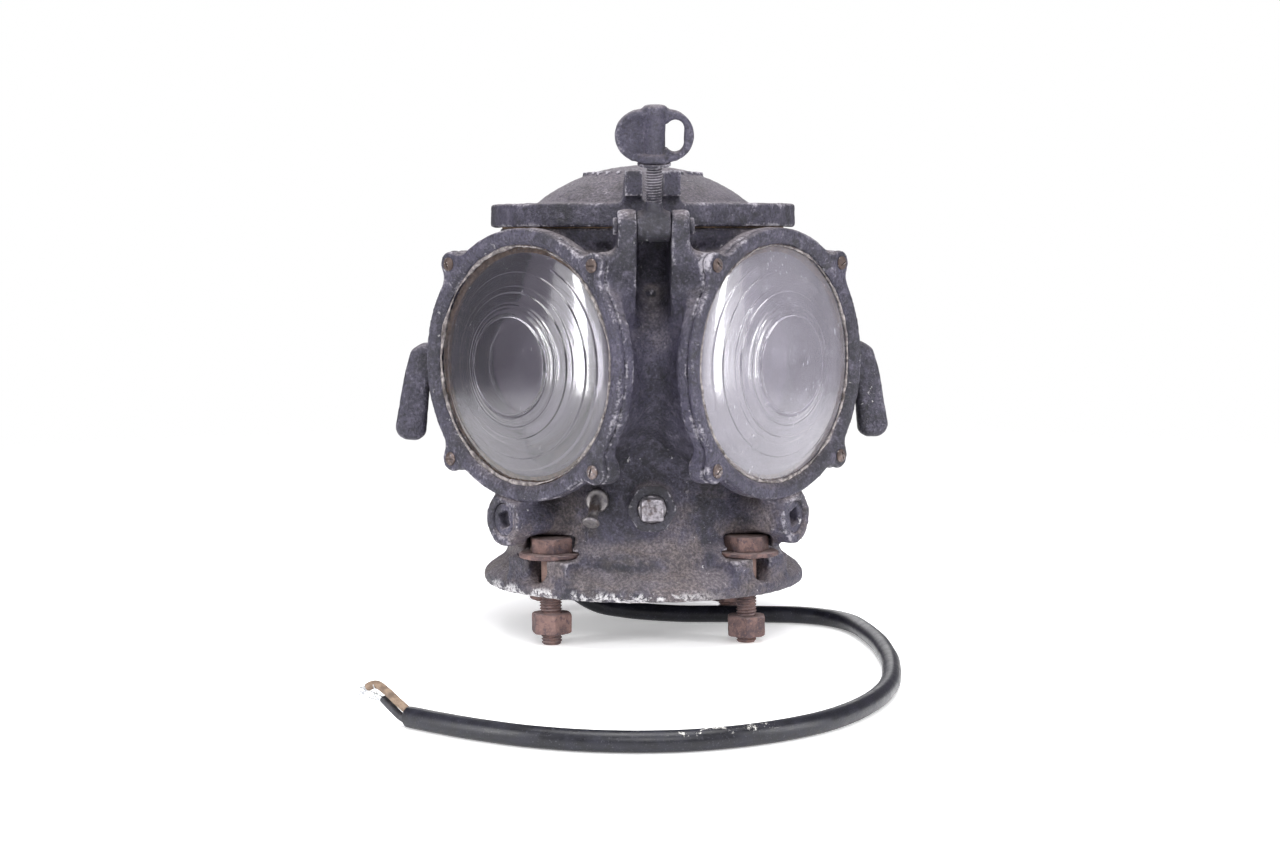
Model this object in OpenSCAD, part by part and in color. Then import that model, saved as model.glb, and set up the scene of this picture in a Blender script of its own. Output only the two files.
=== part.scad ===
// Four-lens electric signal lamp head. Millimetres. +Z is up and -Y is the latch side.
// z = 0 is the plane of the base bolts' ends, which the lamp stands on.

/* [Base] */
// Radius of the round base flange
flange_r = 101.6; // [96:0.1:125]
// Height of the flange's plain rim
flange_t = 9; // [6:0.5:12]
// How far the base bolts stand out below the flange
bolt_stand = 31; // [20:0.5:45]
// Radius of the circle that the base bolts stand on
bolt_circle_r = 84.7; // [80:0.1:100]
// Radius of a base bolt
bolt_r = 6.35; // [4:0.05:8]
// Clearance between a base bolt and its hole
bolt_clear = 0.75; // [0.2:0.05:2]
// Height of the bolt bosses above the flange's underside
boss_h = 22.9; // [16:0.1:30]
// Width of a bolt boss
boss_w = 50; // [40:1:54]
// Distance from the axis to a bolt boss's outer face
boss_reach = 97.5; // [88:0.5:98]
// Radius of a base washer
washer_r = 19.8; // [16:0.1:24]
// Thickness of a base washer
washer_t = 3; // [1.5:0.1:5]

/* [Neck] */
// Outer radius of the neck and of the body's core
neck_r = 80; // [76:0.5:96]
// Radius of the wiring space in the neck
cavity_r = 70; // [62:0.5:76]
// Height of the ledge that the bulkhead rests on
ledge_z = 92; // [80:0.5:110]
// Angle of the side conduit openings from the front
conduit_angle = 52.5; // [50:0.5:60]
// Height of the side conduit openings
conduit_z = 78; // [76:0.5:92]
// Distance from the axis to a side conduit opening's face
conduit_reach = 113.5; // [104:0.5:125]
// Outer radius of a side conduit opening
conduit_boss_r = 16.1; // [13:0.1:20]
// Radius of a side plug's thread
side_plug_r = 10.2; // [7:0.1:11]
// Height of the front plug
front_plug_z = 86.5; // [80:0.5:110]
// Distance from the axis to the front plug boss's face
front_plug_reach = 89; // [87:0.5:110]
// Radius of the front plug's thread
front_plug_r = 8.6; // [6:0.1:10]
// Width of the front plug's square head
front_plug_square = 13.6; // [8:0.1:15]
// Width across the flats of the hexagon bushing around the front plug
front_bushing_af = 27.4; // [24:0.1:32]

/* [Body] */
// Height of the lens centres
lens_z = 172.2; // [165:0.1:210]
// Height of the body's mouth
mouth_z = 254; // [252:0.5:300]
// Outer radius of the body's mouth
mouth_r = 90; // [86:0.5:96]
// Inner radius of the body
chamber_r = 74; // [70:0.5:78]

/* [Lenses] */
// Outer radius of a lens ring and of the boss behind it
ring_r = 82; // [80:0.1:84]
// Radius of the opening in a lens ring
ring_open_r = 71.7; // [64:0.1:73]
// Thickness of a lens ring
ring_t = 5; // [3:0.1:8]
// Distance from the lamp's axis to the face that a lens ring sits on
lens_face = 106.5; // [106:0.1:130]
// Radius of a lens
lens_r = 74.5; // [70:0.1:75.5]
// Thickness of a lens at its edge
lens_edge_t = 6; // [4:0.1:8]
// How far the middle of a lens stands out from its edge
lens_bulge = 15.5; // [8:0.5:22]
// Thickness of the gasket behind a lens
gasket_t = 2.5; // [1:0.1:4]
// Radius of the light opening behind a lens
light_r = 66; // [58:0.5:68]
// Distance of a ring screw from the lens's centre, across and up
screw_pitch = 60; // [58:0.1:62]
// Radius of a ring screw's shank
screw_r = 2.2; // [1.5:0.1:3]
// Radius of a ring screw's round head
screw_head_r = 4.2; // [3:0.1:6]

/* [Hooks] */
// Distance from the lamp's axis to a side hook's tip
hook_reach = 157; // [150:0.5:170]
// Height of a side hook's top above the lens centres
hook_top = 10; // [0:0.5:20]
// Thickness of a side hook
hook_t = 14; // [8:0.5:20]

/* [Lid] */
// Outer radius of the lid
lid_r = 95.7; // [93:0.1:104]
// Height of the lid's rim
lid_rim_h = 14.2; // [10:0.1:18]
// Radius of the dome where it meets the rim
dome_r = 67.5; // [60:0.5:74]
// Rise of the dome above the rim
dome_h = 24.5; // [18:0.5:36]
// Thickness of the lid's shell
lid_wall = 5; // [3:0.5:8]
// Distance of the hinge pin behind the lid's edge
hinge_gap = 10.3; // [10:0.1:14]
// Radius of the hinge pin
hinge_pin_r = 4; // [3:0.1:5]

/* [Latch] */
// Distance from the lamp's axis to the swing bolt's pin
latch_reach = 112; // [110:0.5:124]
// Height of the swing bolt's pin above the body's mouth
latch_rise = 1; // [0:0.5:4]
// Radius of the swing bolt's pin
latch_pin_r = 4; // [3:0.1:5]
// Radius of the swing bolt's barrel
barrel_r = 9.1; // [8:0.1:10]
// Width of the swing bolt's barrel
barrel_w = 19.8; // [16:0.1:24]
// Radius of the swing bolt's stem
stem_r = 4.9; // [4:0.1:5.5]
// Outward lean of the swing bolt, clear of the lid's lugs
lean = 12; // [12:1:20]
// Inward lean of the swing bolt when it is latched
latched_lean = 18; // [15:1:20]
// Distance from the pin to the lugs' seat when latched
seat_h = 32.5; // [31:0.5:38]
// How far the nut is backed off its seat
back_off = 3; // [3:0.5:6]
// Width of each lid lug
lug_w = 10.3; // [8:0.1:14]
// Width of the slot between the lid lugs
slot_w = 12; // [11:0.1:14]
// Height of the thumb nut
nut_h = 33; // [28:0.5:40]

/* [Cable] */
// Diameter of the cable
cable_d = 11; // [9:0.5:11]
// Diameter of an insulated core
core_d = 4.4; // [3:0.1:5]

/* [Hidden] */
$fn = 64;

e = 0.01;                  // overlap of cutters past a face
running = 0.06;            // radial clearance of a pin in its moving piece
side_gap = 0.3;            // clearance beside a moving piece
ring_gap = 0.8;            // clearance around a lens ring
FRONT_LEFT = -45;
FRONT_RIGHT = 45;
REAR_RIGHT = 135;
REAR_LEFT = 225;
CORNERS = [FRONT_LEFT, FRONT_RIGHT, REAR_RIGHT, REAR_LEFT];

// Base
flange_z = bolt_stand;
rim_top_z = flange_z + flange_t;
boss_top_z = flange_z + boss_h;
head_af = bolt_r * 3.8;
head_h = 9;
head_z = boss_top_z + washer_t;
nut_across = bolt_r * 3.5;
base_nut_h = 12.5;
bolt_hole_r = bolt_r + bolt_clear;
notch_w = 2 * bolt_hole_r + 0.8;
notch_floor_z = rim_top_z - 1.5;
step_r = max(bolt_circle_r + 1.8, neck_r + 4);
nut_lows = [7, 4, 6, 8];   // height of each base nut's lower face

// Neck
bulkhead_t = 3;
bulkhead_clear = 0.5;
bulkhead_r = chamber_r - bulkhead_clear;
bulkhead_top = ledge_z + bulkhead_t;
pad_r = 8;
pad_ring_r = cavity_r - 4;
pad_h = 12;
pad_angles = [90, 210, 330];
front_thread_r = front_plug_r + 3.4;
front_boss_r = front_bushing_af / 2;
front_hex_t = 3.6;
drain_angle = -22.4;
drain_z = 90.4;
drain_boss_r = 8.5;
drain_face = neck_r + 2.5;
drain_shank_r = 4;

// Lenses
boss_back = 7.5;           // thickness of the lens boss's flange
boss_neck_r = light_r + 6;
seat_r = lens_r + 0.5;
gasket_face = lens_face - lens_edge_t - gasket_t;
lobe_r = 8;
screw_depth = 11;
screw_head_h = 2.6;

// Lid
lid_z = mouth_z + 0.8;
lid_top_z = lid_z + lid_rim_h;
lid_seat_z = mouth_z + 2;
lid_skirt = 4.5;
gasket_out_r = min(mouth_r, lid_r - lid_skirt) - 1.2;
gasket_in_r = chamber_r + 5;
dome_ball_r = (dome_r * dome_r + dome_h * dome_h) / (2 * dome_h);
dome_ball_z = lid_top_z + dome_h - dome_ball_r;
hinge_y = lid_r + hinge_gap;
hinge_z = mouth_z + 4;
knuckle_r = hinge_pin_r * 2;
knuckle_w = 24;
hinge_ear_r = 9;
hinge_ear_w = 10;
hinge_pin_over = 3;

// Latch
latch_z = mouth_z + latch_rise;
ear_gap = barrel_w / 2 + side_gap;
ear_w = 10.6;
ear_r = 9.8;
ear_foot_z = lens_z + 15;
latch_head_r = latch_pin_r + 1.2;
latch_head_t = 3;
nut_washer_r = 10;
nut_washer_t = 2;
seat_out = latch_reach - 22 * tan(latched_lean) + 3.1;  // outer end of the lid lugs
nut_low = seat_h + back_off;
nut_base = nut_low + nut_washer_t;
nut_top = nut_base + nut_h;
nut_hub_r = 6.3;
thread_gap = 0.08;
wing_r = 15;
wing_x = 7.8;
wing_h = nut_base + 15.6;
wing_t = 8;

// Wiring
bushing_x = -59;
bushing_y = 12;
bushing_low = 82;
bushing_r = 8.5;
cable_r = cable_d / 2;
core_r = core_d / 2;
lead_r = 1.6;
terminal_top = bulkhead_top + 15;

// The cable's route, from the bushing down through the base and over the surface
CABLE_ROUTE = [[-59, 12, 82], [-59, 12, 70], [-59, 12, 57], [-55, 12, 38], [-45, 12, 22.5],
  [-30, 12, 12.5], [-12, 12, 8.5], [8, 11, 6.5], [28, 10, 5.5], [48, 8.5, 5.5], [66, 6.5, 5.5],
  [82, 4.5, 5.5], [98, 1.5, 5.5], [112, -6, 5.5], [123, -18, 5.5], [130, -34, 5.5],
  [133, -52, 5.5], [135, -76, 5.5], [136, -102, 5.5], [135, -130, 5.5], [133, -158, 5.5],
  [129, -186, 5.5], [124, -213, 5.5], [116, -240, 5.5], [105, -266, 5.5], [91, -290, 5.5],
  [74, -311, 5.5], [53, -328, 5.5], [29, -341, 5.5], [3, -349, 5.5], [-24, -350, 5.5],
  [-51, -345, 5.5], [-77, -334, 5.5], [-101, -318, 5.5], [-120, -302, 5.5], [-136, -287, 5.5]];
TAN_CORE = [[-136, -287, 8], [-142, -281, 12], [-148, -274, 16], [-153.5, -268, 18.5],
  [-158.5, -265, 16.5], [-161.5, -264, 12]];
BLACK_CORE = [[-136, -287, 3], [-141, -282, 5], [-146, -276, 8.5], [-150, -271, 11.5]];
LIVE_LEAD = [[-59, 14, 98], [-56, 16, 106], [-48, 26, 112], [-36, 36, 112], [-27, 40, 108]];
NEUTRAL_LEAD = [[-59, 9, 98], [-52, 8, 105], [-38, 12, 108], [-18, 24, 108], [-9, 36, 108]];

// ---- helpers ----

// Children drawn in Y and Z, extruded from x0 to x1
module along_x(x0, x1) {
  translate([x0, 0, 0]) rotate([90, 0, 90]) linear_extrude(x1 - x0) children();
}

// Local +Z points out of the lens at this corner, and local +Y points up
module at_lens(corner) {
  rotate([0, 0, corner]) translate([0, 0, lens_z]) rotate([90, 0, 0]) children();
}

// Local +Z points straight out from the lamp's axis at this angle and height
module facing(angle, z) {
  rotate([0, 0, angle]) translate([0, 0, z]) rotate([90, 0, 0]) children();
}

// Local +Z runs up the swing bolt from its pin
module on_bolt() {
  translate([0, -latch_reach, latch_z]) rotate([lean, 0, 0]) children();
}

module at_bolts() {
  for (corner = CORNERS) rotate([0, 0, corner]) translate([0, -bolt_circle_r, 0]) children();
}

module x_rod(r, x0, x1) {
  translate([x0, 0, 0]) rotate([0, 90, 0]) cylinder(r = r, h = x1 - x0);
}

function unit(v) = v / norm(v);
function tangent(p, i) =
  unit(p[min(i + 1, len(p) - 1)] - p[max(i - 1, 0)]);
// A ring's first side direction is carried along the route, so the tube doesn't twist
function carried(p, i) = i == 0
  ? unit(cross(tangent(p, 0), [0.31, 0.95, 0.12]))
  : let (t = tangent(p, i), s = carried(p, i - 1)) unit(s - (s * t) * t);

// A round tube with flat ends along the points p
module tube(p, r, sides = 10) {
  n = len(p);
  points = [for (i = [0:n - 1])
    let (t = tangent(p, i), a = carried(p, i), b = cross(t, a))
    for (k = [0:sides - 1]) p[i] + r * (cos(360 * k / sides) * a + sin(360 * k / sides) * b)];
  walls = [for (i = [0:n - 2], k = [0:sides - 1]) let (m = (k + 1) % sides)
    [i * sides + m, i * sides + k, (i + 1) * sides + k, (i + 1) * sides + m]];
  low = [[for (k = [0:sides - 1]) k]];
  high = [[for (k = [sides - 1:-1:0]) (n - 1) * sides + k]];
  polyhedron(points, concat(walls, low, high));
}

// ---- housing ----

module core_outside() {
  rotate_extrude($fn = 96) polygon([[0, flange_z], [flange_r - 1.5, flange_z],
    [flange_r, flange_z + 1.5], [flange_r, rim_top_z - 2.5], [flange_r - 3, rim_top_z + 0.5],
    [step_r + 4, rim_top_z + 6], [step_r, rim_top_z + 9], [step_r, boss_top_z + 3],
    [step_r - 2.5, boss_top_z + 6], [neck_r, boss_top_z + 9], [neck_r, mouth_z - 20],
    [mouth_r, mouth_z - 8], [mouth_r, mouth_z], [0, mouth_z]]);
}

module bolt_boss() {
  translate([-boss_w / 2, -boss_reach, flange_z + 1])
    cube([boss_w, boss_reach - cavity_r + 4, boss_h - 1]);
}

// Notch that opens a bolt boss to the outside, with a round floor
module bolt_notch() {
  r = notch_w / 2;
  translate([0, 0, notch_floor_z + r]) rotate([90, 0, 0]) cylinder(r = r, h = flange_r);
  translate([-r, -flange_r, notch_floor_z + r]) cube([notch_w, flange_r, boss_h]);
}

module lens_boss() {
  rotate_extrude($fn = 96) polygon([[0, 40], [boss_neck_r, 40], [boss_neck_r, lens_face - 20],
    [boss_neck_r + 2, lens_face - 13], [ring_r - 3, lens_face - boss_back - 1.5],
    [ring_r, lens_face - boss_back], [ring_r, lens_face], [0, lens_face]]);
  for (x = [-1, 1], y = [-1, 1])
    translate([x * screw_pitch, y * screw_pitch, lens_face - boss_back - 4])
      cylinder(r = lobe_r, h = boss_back + 4);
}

module lens_bore() {
  cylinder(r = light_r, h = lens_face, $fn = 96);
  translate([0, 0, gasket_face]) cylinder(r = seat_r, h = lens_face, $fn = 96);
  for (x = [-1, 1], y = [-1, 1])
    translate([x * screw_pitch, y * screw_pitch, lens_face - screw_depth])
      cylinder(r = screw_r, h = screw_depth + 1);
}

module latch_ears() {
  for (x0 = [-ear_gap - ear_w, ear_gap]) {
    translate([0, -latch_reach, latch_z]) x_rod(ear_r, x0, x0 + ear_w);
    along_x(x0, x0 + ear_w) polygon([[-latch_reach - ear_r, latch_z],
      [-latch_reach - ear_r + 4, latch_z - 24], [-boss_neck_r * 1.42, ear_foot_z],
      [-neck_r + 4, ear_foot_z], [-neck_r + 4, mouth_z - 6],
      [-lid_r - 1.5, mouth_z - 2], [-latch_reach + ear_r, latch_z]]);
  }
}

module hinge_ears() {
  for (x0 = [-knuckle_w / 2 - side_gap - hinge_ear_w, knuckle_w / 2 + side_gap]) {
    translate([0, hinge_y, hinge_z]) x_rod(hinge_ear_r, x0, x0 + hinge_ear_w);
    along_x(x0, x0 + hinge_ear_w) polygon([[neck_r - 4, mouth_z - 38], [neck_r - 4, mouth_z - 4],
      [hinge_y - hinge_ear_r, mouth_z - 4], [hinge_y - hinge_ear_r, hinge_z],
      [hinge_y + hinge_ear_r, hinge_z], [hinge_y + hinge_ear_r - 3, hinge_z - 14]]);
  }
}

// The bosses are cut back where the front lens rings pass above them
module conduit_bosses() {
  for (side = [-1, 1]) difference() {
    facing(side * conduit_angle, conduit_z)
      translate([0, 0, cavity_r + 2]) cylinder(r = conduit_boss_r, h = conduit_reach - cavity_r - 2);
    at_lens(side * FRONT_RIGHT) translate([0, 0, lens_face])
      cylinder(r = ring_r + ring_gap, h = conduit_reach, $fn = 96);
  }
}

module housing() {
  color([0.20, 0.21, 0.25]) difference() {
    union() {
      difference() {
        union() {
          core_outside();
          for (corner = CORNERS) {
            rotate([0, 0, corner]) bolt_boss();
            at_lens(corner) lens_boss();
          }
          latch_ears();
          hinge_ears();
          conduit_bosses();
          facing(0, front_plug_z) translate([0, 0, cavity_r + 4])
            cylinder(r = front_boss_r, h = front_plug_reach - cavity_r - 4);
          facing(drain_angle, drain_z) translate([0, 0, cavity_r + 4])
            cylinder(r = drain_boss_r, h = drain_face - cavity_r - 4);
        }
        translate([0, 0, flange_z - 1]) cylinder(r = cavity_r, h = ledge_z - flange_z + 2);
        translate([0, 0, ledge_z]) cylinder(r = chamber_r, h = mouth_z);
      }
      for (a = pad_angles) rotate([0, 0, a]) intersection() {
        translate([pad_ring_r, 0, ledge_z - pad_h]) cylinder(r = pad_r, h = pad_h);
        translate([0, 0, ledge_z - pad_h - 1]) cylinder(r = cavity_r + 1, h = pad_h + 2);
      }
    }
    for (corner = CORNERS) at_lens(corner) lens_bore();
    at_bolts() {
      translate([0, 0, flange_z - 1]) cylinder(r = bolt_hole_r, h = boss_h + 2);
      bolt_notch();
      translate([0, 0, boss_top_z]) cylinder(r = washer_r + 0.6, h = washer_t + 0.4);
      translate([0, 0, boss_top_z]) cylinder(r = head_af * 0.62, h = washer_t + head_h + 0.8);
    }
    for (side = [-1, 1]) facing(side * conduit_angle, conduit_z)
      translate([0, 0, cavity_r - 6]) cylinder(r = side_plug_r, h = conduit_reach);
    facing(0, front_plug_z) translate([0, 0, cavity_r - 6])
      cylinder(r = front_thread_r, h = front_plug_reach);
    facing(drain_angle, drain_z) translate([0, 0, cavity_r - 6])
      cylinder(r = drain_shank_r, h = neck_r);
    for (a = pad_angles) rotate([0, 0, a])
      translate([pad_ring_r, 0, ledge_z - pad_h + 3]) cylinder(r = screw_r, h = pad_h);
    translate([0, -latch_reach, latch_z]) x_rod(latch_pin_r, -60, 60);
    translate([0, hinge_y, hinge_z]) x_rod(hinge_pin_r, -60, 60);
  }
}

// ---- lid, hinge and latch ----

module lid_lugs() {
  for (x0 = [-slot_w / 2 - lug_w, slot_w / 2])
    along_x(x0, x0 + lug_w) polygon(lug_outline());
}

// Height of the lugs' sloped seat at a distance out from the lamp's axis
function seat_z(out) = latch_z + seat_h * cos(latched_lean)
  + (out - latch_reach + seat_h * sin(latched_lean)) * tan(latched_lean);
function dome_z(out, wall) = dome_ball_z + sqrt(pow(dome_ball_r - wall, 2) - out * out);
function lug_outline() =
  let (under = lid_top_z + 3.5, heel = lid_r - 1.7, back = dome_r - 3, buried = lid_top_z - 2)
  [[-seat_out, under], [-seat_out, seat_z(seat_out)], [-heel, seat_z(heel)],
   [-back, dome_z(back, 0) - 1], [-back, buried], [-heel + 1, buried], [-heel - 3, under]];

module lid() {
  color([0.21, 0.22, 0.26]) difference() {
    union() {
      rotate_extrude($fn = 96) polygon([[dome_r - 6, lid_seat_z], [lid_r - lid_skirt, lid_seat_z],
        [lid_r - lid_skirt, lid_z], [lid_r, lid_z], [lid_r, lid_top_z - 1.2],
        [lid_r - 1.2, lid_top_z], [dome_r - 6, lid_top_z]]);
      intersection() {
        translate([0, 0, dome_ball_z]) sphere(r = dome_ball_r, $fn = 96);
        translate([0, 0, lid_top_z - 6]) cylinder(r = dome_r, h = dome_h + 10);
      }
      lid_lugs();
      translate([0, hinge_y, hinge_z]) x_rod(knuckle_r, -knuckle_w / 2, knuckle_w / 2);
      translate([-knuckle_w / 2, lid_r - 8, lid_seat_z])
        cube([knuckle_w, hinge_gap + 8, hinge_z + knuckle_r - lid_seat_z]);
    }
    translate([0, 0, dome_ball_z]) sphere(r = dome_ball_r - lid_wall, $fn = 96);
    translate([0, 0, lid_seat_z - 1]) cylinder(r = dome_r - 6, h = lid_top_z - lid_seat_z - 2);
    translate([0, hinge_y, hinge_z])
      x_rod(hinge_pin_r + running, -knuckle_w / 2 - 1, knuckle_w / 2 + 1);
  }
}

module lid_gasket() {
  color([0.10, 0.10, 0.10]) translate([0, 0, mouth_z]) difference() {
    cylinder(r = gasket_out_r, h = lid_seat_z - mouth_z - 0.05, $fn = 96);
    translate([0, 0, -1]) cylinder(r = gasket_in_r, h = 5, $fn = 96);
  }
}

module lid_hinge_pin() {
  half = knuckle_w / 2 + side_gap + hinge_ear_w;
  color([0.30, 0.26, 0.25]) translate([0, hinge_y, hinge_z]) {
    x_rod(hinge_pin_r, -half - e, half + e);
    x_rod(hinge_pin_r + 1.2, -half - hinge_pin_over, -half);
    x_rod(hinge_pin_r + 1.2, half, half + hinge_pin_over);
  }
}

module swing_bolt() {
  color([0.33, 0.34, 0.38]) on_bolt() difference() {
    union() {
      x_rod(barrel_r, -barrel_w / 2, barrel_w / 2);
      cylinder(r = stem_r, h = nut_top - 7);
      translate([0, 0, barrel_r - 1]) cylinder(r1 = stem_r + 2.6, r2 = stem_r, h = 3.4);
    }
    x_rod(latch_pin_r + running, -barrel_w, barrel_w);
  }
}

module swing_bolt_pin() {
  half = ear_gap + ear_w;
  color([0.32, 0.31, 0.33]) translate([0, -latch_reach, latch_z]) {
    x_rod(latch_pin_r, -half - e, half + e);
    x_rod(latch_head_r, -half - latch_head_t, -half);
    x_rod(latch_head_r, half, half + latch_head_t);
  }
}

module nut_washer() {
  color([0.34, 0.35, 0.38]) on_bolt() translate([0, 0, nut_low]) difference() {
    cylinder(r = nut_washer_r, h = nut_washer_t);
    translate([0, 0, -1]) cylinder(r = stem_r + thread_gap, h = nut_washer_t + 2);
  }
}

module wing_disc(side) {
  translate([side * wing_x, 0, wing_h]) rotate([90, 0, 0])
    cylinder(r = wing_r, h = wing_t, center = true);
}

module finger_hole() {
  for (z = [-4.1, 4.1]) translate([wing_x + 4, 0, wing_h + z])
    rotate([90, 0, 0]) cylinder(r = 5.3, h = 20, center = true);
  translate([wing_x + 4 - 5.3, -10, wing_h - 4.1]) cube([10.6, 20, 8.2]);
}

module thumb_nut() {
  foot_w = 26.4;
  color([0.34, 0.35, 0.39]) on_bolt() difference() {
    union() {
      difference() {
        union() {
          wing_disc(-1);
          wing_disc(1);
          translate([-foot_w / 2, -wing_t / 2, nut_base + 1]) cube([foot_w, wing_t, 6]);
        }
        for (y = [-wing_t / 2 - 1, wing_t / 2 - 2]) translate([-wing_x - 1.4, y, wing_h])
          rotate([-90, 0, 0]) cylinder(r = wing_r - 3.6, h = 3);
        finger_hole();
      }
      translate([0, 0, nut_base]) cylinder(r = nut_hub_r, h = nut_h);
      translate([0, 0, nut_base]) cylinder(r = nut_washer_r - 0.5, h = 3);
      translate([0, 0, nut_base + 3]) cylinder(r1 = nut_washer_r - 0.5, r2 = nut_hub_r, h = 4);
    }
    translate([0, 0, nut_base - 1]) cylinder(r = stem_r + thread_gap, h = nut_h - 3);
  }
}

// ---- lenses ----

module lens(corner) {
  f = lens_face;
  b = lens_bulge;
  back = f - lens_edge_t;
  color([0.72, 0.76, 0.80, 0.5]) at_lens(corner) rotate_extrude($fn = 96)
    polygon([[0, back + b - 0.5], [22, back + b - 2.5], [44, back + b * 0.45], [light_r - 3, back],
      [lens_r, back], [lens_r, f], [ring_open_r, f], [ring_open_r - 1.5, f + b * 0.10],
      [55.5, f + b * 0.32], [55.5, f + b * 0.40], [43.4, f + b * 0.62], [43.4, f + b * 0.70],
      [28.9, f + b * 0.84], [28.9, f + b * 0.93], [16, f + b * 0.98], [0, f + b]]);
}

module lens_gasket(corner) {
  color([0.42, 0.38, 0.33]) at_lens(corner) translate([0, 0, gasket_face]) difference() {
    cylinder(r = lens_r, h = gasket_t, $fn = 96);
    translate([0, 0, -1]) cylinder(r = light_r, h = gasket_t + 2, $fn = 96);
  }
}

module lens_ring(corner) {
  color([0.22, 0.23, 0.27]) at_lens(corner) translate([0, 0, lens_face]) difference() {
    union() {
      cylinder(r = ring_r, h = ring_t, $fn = 96);
      for (x = [-1, 1], y = [-1, 1]) translate([x * screw_pitch, y * screw_pitch, 0])
        cylinder(r = lobe_r, h = ring_t);
    }
    translate([0, 0, -1]) cylinder(r = ring_open_r, h = ring_t + 2, $fn = 96);
    translate([0, 0, ring_t * 0.4])
      cylinder(r1 = ring_open_r, r2 = ring_open_r + 4, h = ring_t * 0.6 + e, $fn = 96);
    for (x = [-1, 1], y = [-1, 1]) translate([x * screw_pitch, y * screw_pitch, -1])
      cylinder(r = screw_r + 0.3, h = ring_t + 2);
  }
}

module slotted_screw(shank) {
  difference() {
    union() {
      translate([0, 0, -shank]) cylinder(r = screw_r, h = shank + e);
      intersection() {
        cylinder(r = screw_head_r, h = screw_head_h);
        translate([0, 0, screw_head_h - screw_head_r * 1.4]) sphere(r = screw_head_r * 1.4);
      }
    }
    translate([-screw_head_r, -0.6, screw_head_h - 1.2]) cube([2 * screw_head_r, 1.2, 2]);
  }
}

module lens_ring_screws() {
  color([0.42, 0.36, 0.32]) for (corner = CORNERS, x = [-1, 1], y = [-1, 1])
    at_lens(corner) translate([x * screw_pitch, y * screw_pitch, lens_face + ring_t])
      rotate([0, 0, 35 * x + 50 * y + corner]) slotted_screw(ring_t + screw_depth - 2);
}

// ---- outside fittings ----

// A hook-shaped tongue that hangs in the valley between two lenses
module hand_hook(side) {
  root = boss_neck_r * sqrt(2) - 2;
  top = lens_z + hook_top;
  color([0.21, 0.22, 0.26]) mirror([side < 0 ? 1 : 0, 0, 0]) difference() {
    translate([0, hook_t / 2, 0]) rotate([90, 0, 0]) linear_extrude(hook_t)
      polygon([[root, top], [hook_reach - 17.5, top], [hook_reach - 10.6, top - 4.5],
        [hook_reach - 6.4, top - 18], [hook_reach - 2, top - 43], [hook_reach, top - 54],
        [hook_reach - 2, top - 58.5], [hook_reach - 6, top - 61], [hook_reach - 14, top - 61.5],
        [hook_reach - 19, top - 58], [hook_reach - 20.6, top - 43], [hook_reach - 21.5, top - 30],
        [hook_reach - 25, top - 20], [hook_reach - 31, top - 16], [root, top - 16]]);
    for (corner = [FRONT_RIGHT, REAR_RIGHT]) at_lens(corner)
      cylinder(r = boss_neck_r, h = lens_face - 20, $fn = 96);
  }
}

module side_plug(side) {
  sink = 1.5;
  length = 14;
  square = 9.6;
  color([0.38, 0.34, 0.32]) facing(side * conduit_angle, conduit_z)
    translate([0, 0, conduit_reach - sink - length]) difference() {
      cylinder(r = side_plug_r, h = length);
      translate([0, 0, length - 7]) rotate([0, 0, 20])
        translate([-square / 2, -square / 2, 0]) cube([square, square, 9]);
    }
}

// Hexagon bushing that carries the front plug
module front_bushing() {
  length = front_plug_reach - chamber_r - 1;
  color([0.30, 0.30, 0.32]) facing(0, front_plug_z) difference() {
    union() {
      translate([0, 0, front_plug_reach - length]) cylinder(r = front_thread_r, h = length + e);
      translate([0, 0, front_plug_reach]) intersection() {
        hexagon(front_bushing_af, front_hex_t);
        cylinder(r1 = front_bushing_af * 0.56, r2 = front_bushing_af * 0.52, h = front_hex_t);
      }
    }
    translate([0, 0, chamber_r - 2]) cylinder(r = front_plug_r, h = front_plug_reach);
  }
}

module front_plug() {
  w = front_plug_square;
  face = front_plug_reach + front_hex_t;
  color([0.42, 0.38, 0.36]) facing(0, front_plug_z) {
    translate([0, 0, chamber_r + 3]) cylinder(r = front_plug_r, h = face - chamber_r - 3);
    intersection() {
      translate([-w / 2, -w / 2, face - e]) cube([w, w, 7]);
      translate([0, 0, face - e]) cylinder(r1 = w * 0.8, r2 = w * 0.6, h = 7);
    }
  }
}

module drain_fitting() {
  color([0.48, 0.48, 0.50]) facing(drain_angle, drain_z) {
    translate([0, 0, cavity_r + 5]) cylinder(r = drain_shank_r, h = drain_face - cavity_r - 5 + e);
    translate([0, 0, drain_face]) cylinder(r = drain_boss_r - 1.2, h = 3.5);
    translate([0, 1, drain_face + 1.5]) rotate([48, 0, 0]) {
      cylinder(r = 3.2, h = 17);
      translate([0, 0, 14]) cylinder(r1 = 3.2, r2 = 5.4, h = 3);
      translate([0, 0, 17]) cylinder(r = 5.4, h = 1.6);
    }
  }
}

// ---- base fasteners ----

module hexagon(across, h) {
  cylinder(r = across / 2 / cos(30), h = h, $fn = 6);
}

module base_bolts() {
  color([0.36, 0.22, 0.18]) at_bolts() {
    cylinder(r = bolt_r, h = head_z + e);
    translate([0, 0, head_z]) rotate([0, 0, 20]) intersection() {
      hexagon(head_af, head_h);
      cylinder(r1 = head_af * 0.5774 + 6, r2 = head_af * 0.5, h = head_h + 0.8);
    }
  }
}

module base_washers() {
  color([0.40, 0.26, 0.20]) at_bolts() translate([0, 0, boss_top_z]) difference() {
    cylinder(r = washer_r, h = washer_t);
    translate([0, 0, -1]) cylinder(r = bolt_hole_r - 0.2, h = washer_t + 2);
  }
}

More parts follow.
